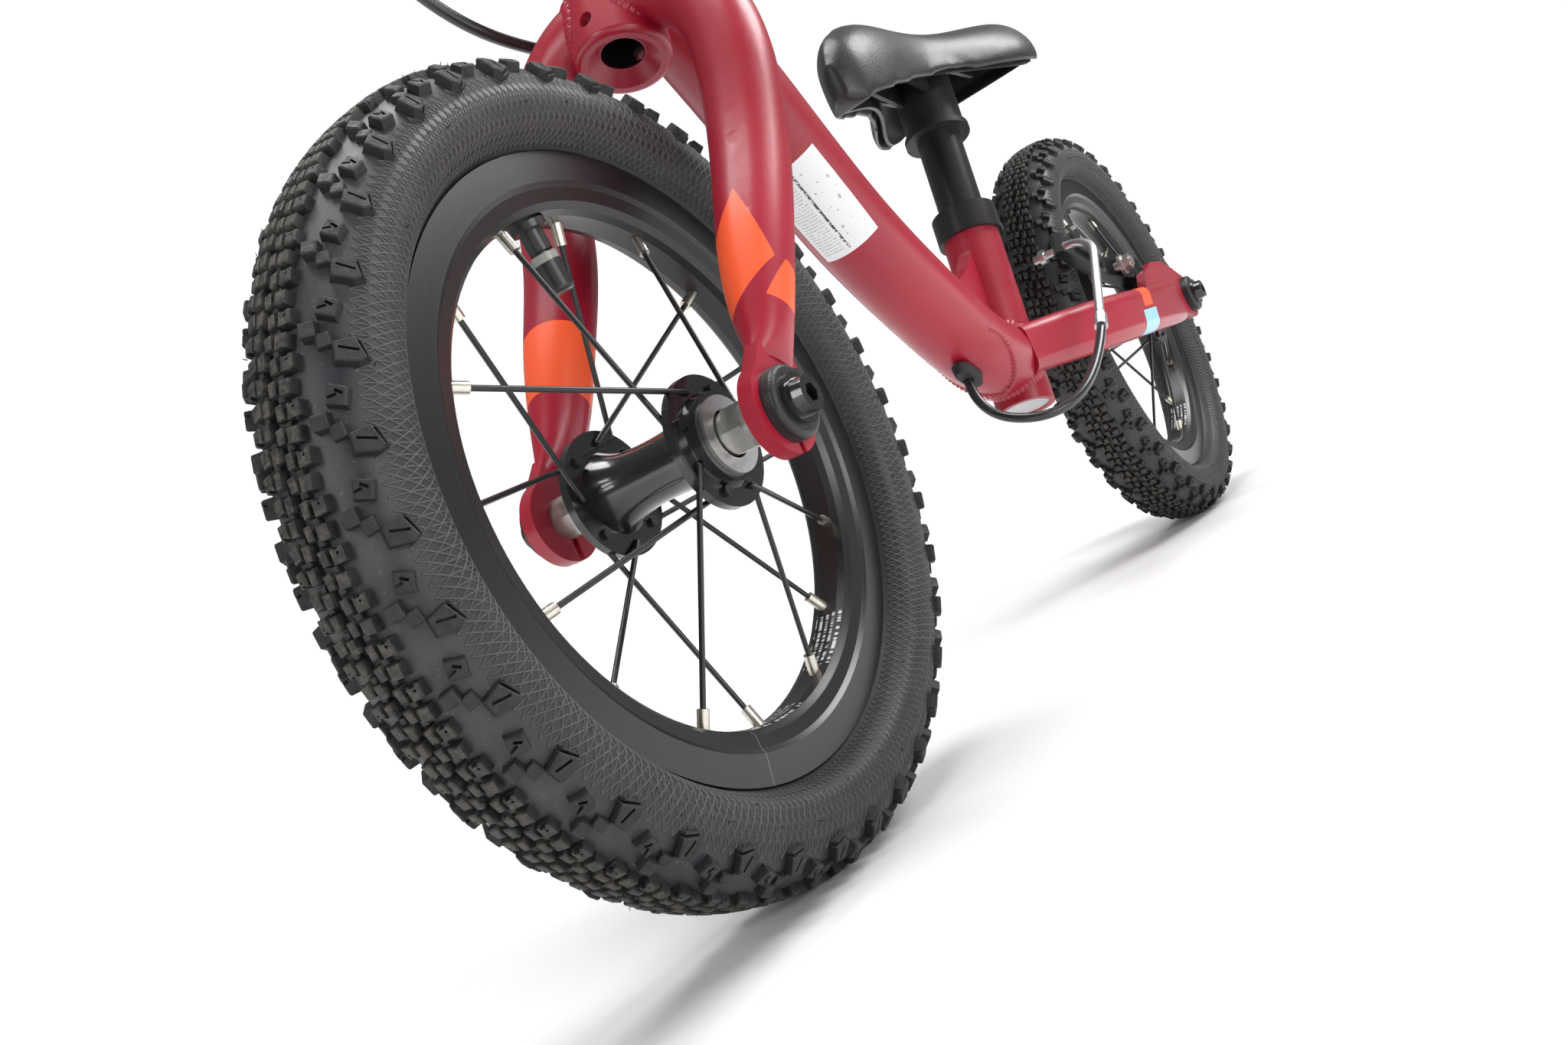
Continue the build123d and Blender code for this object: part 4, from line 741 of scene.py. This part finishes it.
def rounded_line(points, cuts):
    """A smooth line through the points, each span cut into short pieces."""
    line = []
    for i in range(len(points) - 1):
        before = Vector(points[max(i - 1, 0)])
        here, there = Vector(points[i]), Vector(points[i + 1])
        after = Vector(points[min(i + 2, len(points) - 1)])
        for k in range(cuts):
            t = k / cuts
            blend = here * 2 + (there - before) * t
            blend += (before * 2 - here * 5 + there * 4 - after) * t * t
            blend += (here * 3 - before - there * 3 + after) * t * t * t
            line.append(blend / 2)
    line.append(Vector(points[-1]))
    return line


ARCH_LINE = rounded_line(ARCH, 6)
CROWN = len(ARCH_LINE) // 2


def on_arch(distance):
    """The point and outward lean at a distance in mm from the crown, left side plus."""
    side = 1 if distance >= 0 else -1
    left = abs(distance)
    i = CROWN
    while i > 0:
        span = (ARCH_LINE[i - 1] - ARCH_LINE[i]).length
        if left <= span:
            break
        left -= span
        i -= 1
    i = max(i, 1)
    run = (ARCH_LINE[i - 1] - ARCH_LINE[i]).normalized()
    spot = ARCH_LINE[i] + run * left
    lean = math.atan2(-run.y, run.x)
    return Vector((spot.x * side, spot.y)), lean * side


def tread_place(axle_x, degrees, distance, lift=0.0):
    """A matrix that stands a piece on the casing: its x round the wheel, its z outwards."""
    spot, lean = on_arch(distance)
    turn = math.radians(degrees)
    out = Vector((math.cos(turn) * math.cos(lean), math.sin(lean), math.sin(turn) * math.cos(lean)))
    around = Vector((-math.sin(turn), 0, math.cos(turn)))
    aside = out.cross(around)
    radius = spot.y * MM
    at = Vector((axle_x + radius * math.cos(turn), spot.x * MM, AXLE_Z + radius * math.sin(turn)))
    at += out * lift * MM
    grid = Matrix((around, aside, out)).transposed().to_4x4()
    return Matrix.Translation(at) @ grid


print("arch length", round(sum((b - a).length for a, b in zip(ARCH_LINE, ARCH_LINE[1:])), 1), "mm")

# %% Spin the casing
INNER = [(9.4, 107.2), (9.0, 102.2), (7.6, 102.2), (8.6, 109.8), (15.8, 115.4), (18.8, 121.7), (15.6, 129.0)]


def casing(name, axle_x):
    section = list(ARCH_LINE)
    section += [Vector((-y, r)) for y, r in INNER]
    section += [Vector((0.0, 134.6))]
    section += [Vector((y, r)) for y, r in reversed(INNER)]
    points = [(axle_x + p.y * MM, p.x * MM, AXLE_Z) for p in section]
    steps = 180
    return smoothed(turned(name, points, (axle_x, 0, AXLE_Z), steps), 50)


front_casing = casing("front_casing", FRONT_X)
wear(front_casing, casing_rubber("front_casing_rubber", FRONT_X))
placed(front_casing, "front_wheel", ["front_tyre"])

# %% [markdown]
# Tread blocks come in a few shapes that repeat all the way round. Each is a cube,
# tapered towards its top and softened at the top edges, then notched or slit where
# the real one is. They are made once, upright at the origin.

# %% Tread blocks


def block(name, length, width, height, taper=0.84, soften=0.35):
    """A tapered block of rubber, sunk 1.2 mm below the casing's skin."""
    sunk = 1.2
    only(floor)
    bpy.ops.object.select_all(action="DESELECT")
    bpy.ops.mesh.primitive_cube_add(size=1, location=(0, 0, (height - sunk) / 2 * MM))
    piece = bpy.context.object
    piece.name = name
    piece.scale = (length * MM, width * MM, (height + sunk) * MM)
    settle(piece)
    bpy.ops.object.mode_set(mode="EDIT")
    bpy.ops.mesh.select_all(action="DESELECT")
    bpy.ops.object.mode_set(mode="OBJECT")
    for face in piece.data.polygons:
        face.select = face.normal.z > 0.5
    bpy.ops.object.mode_set(mode="EDIT")
    bpy.ops.mesh.select_mode(type="FACE")
    top = (0, 0, height * MM)
    bpy.ops.transform.resize(value=(taper, taper, 1), center_override=top)
    bpy.ops.mesh.bevel(offset=soften * MM, segments=1, affect="EDGES")
    bpy.ops.object.mode_set(mode="OBJECT")
    return piece


def cut_by(piece, cutter):
    """Takes a cutter's shape out of a piece, then throws the cutter away."""
    only(piece)
    carve = piece.modifiers.new("carve", "BOOLEAN")
    carve.operation = "DIFFERENCE"
    carve.object = cutter
    carve.solver = "EXACT"
    bpy.ops.object.modifier_apply(modifier=carve.name)
    thrown_away(cutter)
    return piece


def slit(length, width, depth, at, turn):
    """A thin upright bar used as a cutter."""
    only(floor)
    bpy.ops.object.select_all(action="DESELECT")
    bpy.ops.mesh.primitive_cube_add(size=1, location=(at[0] * MM, at[1] * MM, at[2] * MM))
    bar = bpy.context.object
    bar.scale = (length * MM, width * MM, depth * MM)
    bar.rotation_euler = (0, 0, math.radians(turn))
    return settle(bar)


plain_block = block("plain_block", 4.4, 4.2, 3.0)
low_block = block("low_block", 2.4, 2.6, 1.7, 0.8, 0.25)
ridge_block = block("ridge_block", 4.8, 3.0, 3.0, 0.78)
centre_block = block("centre_block", 4.4, 3.0, 3.0)
notched_block = block("notched_block", 4.6, 4.4, 3.0)
cut_by(notched_block, slit(1.7, 1.7, 4.0, (2.2, 0.1, 3.2), 0))
cut_by(notched_block, slit(0.7, 0.7, 3.0, (0.5, -0.4, 3.2), 45))
print("centre shapes ready")

# %% Shoulder blocks


def chamfered(piece, keep_x, keep_y):
    """Lowers the top corner on one side by moving its vertices, for a sloped flank."""
    for vertex in piece.data.vertices:
        if vertex.co.z > 1.5 * MM and vertex.co.x * keep_x + vertex.co.y * keep_y < -0.6 * MM:
            vertex.co.z -= 0.8 * MM
    return piece


def slab(name, corners, height):
    """A block on a drawn outline, its sides leaning in and its top edge softened."""
    piece = traced(name, [(x * MM, y * MM, -1.4 * MM) for x, y in corners + corners[:1]], False)
    lift = (0, 0, (height + 1.4) * MM)
    bpy.ops.object.mode_set(mode="EDIT")
    bpy.ops.mesh.select_all(action="SELECT")
    bpy.ops.mesh.remove_doubles(threshold=0.00001)
    bpy.ops.mesh.edge_face_add()
    bpy.ops.mesh.select_mode(type="FACE")
    bpy.ops.mesh.select_all(action="SELECT")
    bpy.ops.mesh.extrude_region_move(TRANSFORM_OT_translate={"value": lift})
    bpy.ops.transform.resize(value=(0.88, 0.88, 1), center_override=(0, 0, height * MM))
    bpy.ops.mesh.bevel(offset=0.35 * MM, segments=1, affect="EDGES")
    bpy.ops.mesh.select_all(action="SELECT")
    bpy.ops.mesh.normals_make_consistent(inside=False)
    bpy.ops.object.mode_set(mode="OBJECT")
    return piece


SMALL_OUTLINE = [(3.6, 1.6), (1.5, -3.3), (-3.5, -1.9), (-1.8, 3.2)]
LARGE_OUTLINE = [(2.5, 4.1), (3.9, -1.6), (-2.5, -4.2), (-3.7, -2.2), (-2.9, 3.9)]
shoulder_small = slab("shoulder_small", SMALL_OUTLINE, 2.9)
cut_by(shoulder_small, slit(0.8, 2.8, 2.8, (-0.2, 1.4, 2.9), 12))
cut_by(shoulder_small, slit(0.8, 2.2, 2.8, (0.6, -0.6, 2.9), -38))
shoulder_large = slab("shoulder_large", LARGE_OUTLINE, 3.0)
cut_by(shoulder_large, slit(0.7, 4.8, 2.8, (0.2, 0.2, 3.0), -14))
lone_raised = chamfered(block("lone_raised", 4.6, 4.4, 3.4, 0.86, 0.4), 0, 1)
lone_step = block("lone_step", 4.2, 3.8, 1.9, 0.9, 0.3)
rim_bar = block("rim_bar", 7.0, 1.1, 2.4, 0.7, 0.25)
print("shoulder shapes ready")

# %% [markdown]
# One stretch of tread, a thirty-sixth of the wheel, is set out from those
# shapes: two staggered rows of small blocks along the middle, a lone knob on the
# smooth band, and a small and a large knob in turn on the shoulder. The stretch is
# then copied round the wheel and joined.

# %% Set out one stretch and copy it round
STRETCH = 10.0
HALF = STRETCH / 2

# shape, place round the wheel in degrees, distance from the crown in mm, own turn
MIDDLE = [
    (notched_block, 0.85, 7.0, -2),
    (ridge_block, 1.15, 2.9, 2),
    (plain_block, 3.45, 5.6, -6),
    (low_block, 2.65, 2.9, 0),
    (centre_block, 3.9, 1.6, 2),
    (low_block, 4.75, 3.6, 0),
]
SHOULDER = [
    (lone_raised, 3.5, 12.6, 4),
    (lone_step, 2.2, 15.6, 8),
    (shoulder_small, 5.75, 17.2, 0),
    (shoulder_large, 0.5, 21.0, 0),
    (rim_bar, 0.75, 24.1, 19),
]


def set_out(pieces, axle_x, base, side, shift):
    made = []
    for shape, degrees, distance, own_turn in pieces:
        move = tread_place(axle_x, base + side * degrees + shift, side * distance)
        turn = Matrix.Rotation(math.radians(own_turn * side), 4, "Z")
        flip = Matrix.Rotation(math.pi, 4, "Z") if side < 0 else Matrix.Identity(4)
        made.append(copied(shape, move @ turn @ flip))
    return made


def whisker(axle_x, degrees, distance, lift, length, tilt):
    """A hair of rubber left by a vent in the mould: a thin three-sided spike."""
    only(floor)
    bpy.ops.object.select_all(action="DESELECT")
    bpy.ops.mesh.primitive_cone_add(vertices=3, radius1=0.24 * MM, radius2=0.07 * MM, depth=length * MM)
    hair = bpy.context.object
    move = tread_place(axle_x, degrees, distance, lift)
    lean = Matrix.Rotation(math.radians(tilt[0]), 4, "X") @ Matrix.Rotation(math.radians(tilt[1]), 4, "Y")
    hair.data.transform(move @ lean @ Matrix.Translation((0, 0, length * MM / 2 - 0.3 * MM)))
    return hair


def tread(name, axle_x):
    stretch = []
    for half in (0, 1):
        stretch += set_out(MIDDLE, axle_x, half * HALF, 1, 0.0)
        stretch += set_out(MIDDLE, axle_x, half * HALF, -1, 1.25)
    for side, shift in ((1, 0.0), (-1, 5.0)):
        stretch += set_out(SHOULDER, axle_x, 0.0, side, shift)
    one = joined("one_stretch", stretch)
    rounds = 36
    pieces = [one]
    centre = Vector((axle_x, 0, AXLE_Z))
    for i in range(1, rounds):
        spin = Matrix.Rotation(-math.radians(i * 360 / rounds), 4, "Y")
        pieces.append(copied(one, Matrix.Translation(centre) @ spin @ Matrix.Translation(-centre)))
    return joined(name, pieces)


front_tread = tread("front_tread", FRONT_X)
wear(front_tread, tread_rubber("front_tread_rubber", FRONT_X))
placed(front_tread, "front_wheel")

# %% [markdown]
# Every vent of the mould leaves a hair. They stand on the edges of the middle blocks
# and here and there on the sidewall. The ones nearest the ground are left off, as
# the first metre of riding rubs them away.

# %% Rubber hairs


def hairs(name, axle_x, count):
    pieces = []
    for i in range(count):
        degrees = 360.0 * i / count + random.uniform(-1.5, 1.5)
        side = random.choice((-1, 1))
        if i % 3 == 0:
            distance, lift, length = side * random.uniform(26, 40), 0.0, random.uniform(1.6, 2.6)
        else:
            distance, lift, length = side * random.uniform(6.0, 11.5), 2.2, random.uniform(1.4, 2.2)
        if length + lift > 3.2 and abs((degrees + 90) % 360) < 24:
            continue
        if length + lift > 3.2 and abs((degrees + 90) % 360) > 336:
            continue
        tilt = (random.uniform(-35, 35), random.uniform(-35, 35))
        pieces.append(whisker(axle_x, degrees, distance, lift, length, tilt))
    return joined(name, pieces)


front_hairs = hairs("front_hairs", FRONT_X, 210)
wear(front_hairs, front_tread.data.materials[0])
placed(front_hairs, "front_wheel")

# %% [markdown]
# The sidewall carries a net of fine raised lines in three directions, which stiffens
# it and grips the light. A net drawn in a material would vanish at the edge of the
# tyre, so one slice of it is modelled as thin ribs along curves laid on the arch, and
# the slice is copied round both sides.

# %% Sidewall net
NET_COUNT = 252
NET_STEP = 360.0 / NET_COUNT
NET_ROWS = 10
NET_FROM = 21.5
NET_TO = 46.5
NET_RIB = 0.27


def net_spot(axle_x, column, row, side):
    distance = NET_FROM + (NET_TO - NET_FROM) * (row / NET_ROWS) ** 0.92
    move = tread_place(axle_x, column * NET_STEP, side * distance, 0.04)
    return move.translation


def rib(points):
    """A thin four-sided wire along the points."""
    line = bpy.data.curves.new("rib", "CURVE")
    line.dimensions = "3D"
    line.bevel_depth = NET_RIB * MM
    line.bevel_resolution = 0
    run = line.splines.new("POLY")
    run.points.add(len(points) - 1)
    for spot, point in zip(run.points, points):
        spot.co = (*point, 1)
    piece = bpy.data.objects.new("rib", line)
    bpy.context.scene.collection.objects.link(piece)
    only(piece)
    bpy.ops.object.convert(target="MESH")
    return bpy.context.object


def net(name, axle_x):
    slices = []
    for side in (1, -1):
        upright = [net_spot(axle_x, 0, row, side) for row in range(NET_ROWS + 1)]
        leaning = [net_spot(axle_x, row * 0.5, row, side) for row in range(NET_ROWS + 1)]
        falling = [net_spot(axle_x, -row * 0.5, row, side) for row in range(NET_ROWS + 1)]
        slices += [rib(upright), rib(leaning), rib(falling)]
    one = joined("one_slice", slices)
    pieces = [one]
    centre = Vector((axle_x, 0, AXLE_Z))
    for i in range(1, NET_COUNT):
        spin = Matrix.Rotation(-math.radians(i * NET_STEP), 4, "Y")
        pieces.append(copied(one, Matrix.Translation(centre) @ spin @ Matrix.Translation(-centre)))
    return joined(name, pieces)


front_net = net("front_sidewall_net", FRONT_X)
wear(front_net, net_rubber("net_rubber"))
placed(front_net, "front_wheel")

# %% [markdown]
# The rear tyre is the same tyre. Its pieces are copies of the front ones, moved back
# by the wheelbase, each with its own mesh and its own finish so that the patches of
# dust do not slide when the wheel is elsewhere.

# %% Rear tyre
BACK = Matrix.Translation((REAR_X - FRONT_X, 0, 0))
rear_casing_finish = casing_rubber("rear_casing_rubber", REAR_X)
rear_tread_finish = tread_rubber("rear_tread_rubber", REAR_X)
for source, name, finish, nodes in (
    (front_casing, "rear_casing", rear_casing_finish, ["rear_tyre"]),
    (front_tread, "rear_tread", rear_tread_finish, []),
    (front_hairs, "rear_hairs", rear_tread_finish, []),
    (front_net, "rear_sidewall_net", front_net.data.materials[0], []),
):
    twin = bpy.data.objects.new(name, source.data.copy())
    twin.data.name = name
    twin.data.transform(BACK)
    bpy.context.scene.collection.objects.link(twin)
    wear(twin, finish)
    placed(twin, "rear_wheel", nodes)

for shape in (plain_block, low_block, ridge_block, centre_block, notched_block, shoulder_small,
              shoulder_large, lone_raised, lone_step, rim_bar):
    thrown_away(shape)

# %% [markdown]
# The brake cable runs in a black jacket from the hand lever, through the frame, to
# the rear brake. It is a smooth curve through a few places where it is held. The
# front half bends between the frame and the turning fork, the rear half follows the
# brake arm.

# %% Brake cable
FRONT_ROUTE = [
    (100.8, -4.1, 271.1), (130, -8, 308), (176, -40, 322), (226, -50, 340), (248, -62, 394),
    (238, -30, 450), (208, -8, 495), (181, -28, 530.6), (181, -79.5, 530.6),
]
REAR_ROUTE = [
    (-53.3, 54, 135.4), (-16, 53, 112), (16, 34, 102), (20, 2, 118), (2, -2, 154),
    (30, -3, 196), (70, 0, 230), (100, -4, 270),
]


def jacket(name, route, radius):
    line = bpy.data.curves.new(name, "CURVE")
    line.dimensions = "3D"
    line.bevel_depth = radius * MM
    line.bevel_resolution = 4
    line.resolution_u = 16
    line.use_fill_caps = True
    run = line.splines.new("NURBS")
    run.points.add(len(route) - 1)
    for spot, point in zip(run.points, route):
        spot.co = (point[0] * MM, point[1] * MM, point[2] * MM, 1)
    run.order_u = 3
    run.use_endpoint_u = True
    piece = bpy.data.objects.new(name, line)
    bpy.context.scene.collection.objects.link(piece)
    only(piece)
    bpy.ops.object.convert(target="MESH")
    piece = bpy.context.object
    piece.name = name
    wear(piece, FINISH_BY_SLOT["cable_black"])
    return smoothed(piece, 60)


front_cable = jacket("front_brake_cable", FRONT_ROUTE, 2.5)
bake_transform(front_cable)
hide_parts("brake_housing_front")

rear_cable = jacket("rear_brake_cable", REAR_ROUTE, 2.5)
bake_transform(rear_cable)
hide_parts("brake_housing_rear")

# %% [markdown]
# A welded joint shows as a row of overlapping scales. A row is laid by looking down
# the branch tube: rays that run along its wall meet the other tube exactly where the
# torch went, and one flattened drop is copied at each place.

# %% Weld beads


REACH = 0.09


def drop():
    only(floor)
    bpy.ops.object.select_all(action="DESELECT")
    bpy.ops.mesh.primitive_uv_sphere_add(segments=10, ring_count=6, radius=1.0)
    piece = bpy.context.object
    piece.scale = (3.7 * MM, 1.9 * MM, 1.4 * MM)
    return settle(piece)


def bead(name, target, centre, ahead, radii, body, spacing=2.4, turn_from=0.0, turn_to=360.0):
    """Scales where a branch of the given half sizes meets the target."""
    mesh = frame["nodes"][target].data
    tree = BVHTree.FromPolygons([v.co[:] for v in mesh.vertices], [p.vertices[:] for p in mesh.polygons])
    ahead = Vector(ahead).normalized()
    aside = ahead.cross(Vector((0, 0, 1))) if abs(ahead.z) < 0.9 else ahead.cross(Vector((0, 1, 0)))
    aside.normalize()
    upward = aside.cross(ahead).normalized()
    spots = []
    for i in range(241):
        turn = math.radians(turn_from + (turn_to - turn_from) * i / 240)
        around = aside * radii[0] * math.cos(turn) + upward * radii[1] * math.sin(turn)
        start = Vector(centre) * MM + around * MM
        hit, normal, _, _ = tree.ray_cast(start, ahead, REACH)
        if hit is not None:
            spots.append((hit, (start - Vector(centre) * MM).normalized(), normal))
    one = drop()
    pieces = []
    last = None
    for place, (spot, out, normal) in enumerate(spots):
        if last is not None and (spot - last).length < spacing * MM:
            continue
        near = spots[place + 1][0] if place + 1 < len(spots) else spots[place - 1][0]
        run = (near - spot)
        if run.length < 1e-7 or run.length > 0.012:
            continue
        last = spot
        run.normalize()
        lift = (out + normal).normalized()
        lift = (lift - run * lift.dot(run)).normalized()
        wide = lift.cross(run)
        grid = Matrix((wide, run, lift)).transposed().to_4x4()
        pieces.append(copied(one, Matrix.Translation(spot + lift * 0.1 * MM) @ grid))
    thrown_away(one)
    row = smoothed(joined(name, pieces), 60)
    wear(row, paint_plain)
    return placed(row, body)


bead("weld_seat_tube", "main_tube", (-76, 0, 202), (0.2845, 0, -0.9587), (16.2, 16.2), "frame")
bead("weld_seat_stub", "main_tube", (-46, 0, 101), (-0.2845, 0, 0.9587), (16.2, 16.2), "frame")
bead("weld_crown_left", "fork_crown", (190.5, 34, 314.4), (0, -1, 0.0), (13.3, 13.3), "steering")
bead("weld_crown_right", "fork_crown", (190.5, -34, 314.4), (0, 1, 0.0), (13.3, 13.3), "steering")
bead("weld_head", "head_tube", (141, 0, 318), (0.547, 0, 0.837), (20.2, 20.2), "frame")
bead("weld_stay_left", "main_tube", (-76, 25, 141), (1, -0.50, 0), (8.4, 14.2), "frame")
bead("weld_stay_right", "main_tube", (-76, -25, 141), (1, 0.50, 0), (8.4, 14.2), "frame")

# %% [markdown]
# The saddle is a firm moulded pad: foam under a thin skin. It starts as a slightly
# thin copy of the measured cover, is remeshed evenly and blown up by a short cloth
# run with a little air inside, so the skin bellies between its edges as foam does.

# %% Saddle pad


PAD_SWELL = 2.2 * MM
PAD_CELL = 4.0 * MM
PAD_FRAMES = 20


def saddle_pad():
    source = frame["nodes"]["saddle_cover"]
    pad = bpy.data.objects.new("saddle_pad", source.data.copy())
    bpy.context.scene.collection.objects.link(pad)
    only(pad)

    def weld():
        bpy.ops.mesh.remove_doubles(threshold=0.00005)
        bpy.ops.mesh.normals_make_consistent(inside=False)

    editing(weld)
    shrink = pad.modifiers.new("thin", "DISPLACE")
    shrink.strength = -0.0012
    shrink.mid_level = 0.0
    bpy.ops.object.modifier_apply(modifier=shrink.name)
    pad.data.remesh_voxel_size = PAD_CELL
    pad.data.remesh_voxel_adaptivity = 0.0
    bpy.ops.object.voxel_remesh()
    start = [v.co.copy() for v in pad.data.vertices]
    cloth = pad.modifiers.new("skin", "CLOTH")
    cloth.settings.use_pressure = True
    cloth.settings.uniform_pressure_force = 4.0
    cloth.settings.effector_weights.gravity = 0.0
    cloth.settings.tension_stiffness = 40.0
    cloth.settings.compression_stiffness = 40.0
    cloth.settings.bending_stiffness = 4.0
    cloth.point_cache.frame_start = 1
    cloth.point_cache.frame_end = PAD_FRAMES
    for number in range(1, PAD_FRAMES + 1):
        bpy.context.scene.frame_set(number)
    bpy.ops.object.modifier_apply(modifier=cloth.name)
    bpy.context.scene.frame_set(1)
    cap = PAD_SWELL
    furthest = 0.0
    for vertex, first in zip(pad.data.vertices, start):
        move = vertex.co - first
        furthest = max(furthest, move.length)
        if move.length > cap:
            vertex.co = first + move.normalized() * cap
    smooth = pad.modifiers.new("smooth", "SMOOTH")
    smooth.factor = 0.5
    smooth.iterations = 4
    bpy.ops.object.modifier_apply(modifier=smooth.name)
    round_off = pad.modifiers.new("round", "SUBSURF")
    round_off.levels = 1
    round_off.render_levels = 1
    bpy.ops.object.modifier_apply(modifier=round_off.name)
    bpy.ops.object.shade_smooth()
    print("pad moved up to", round(furthest * 1000, 2), "mm before the cap")
    return pad


pad = saddle_pad()
wear(pad, FINISH_BY_SLOT["saddle_skin"])
placed(pad, "seat", ["saddle_cover"])
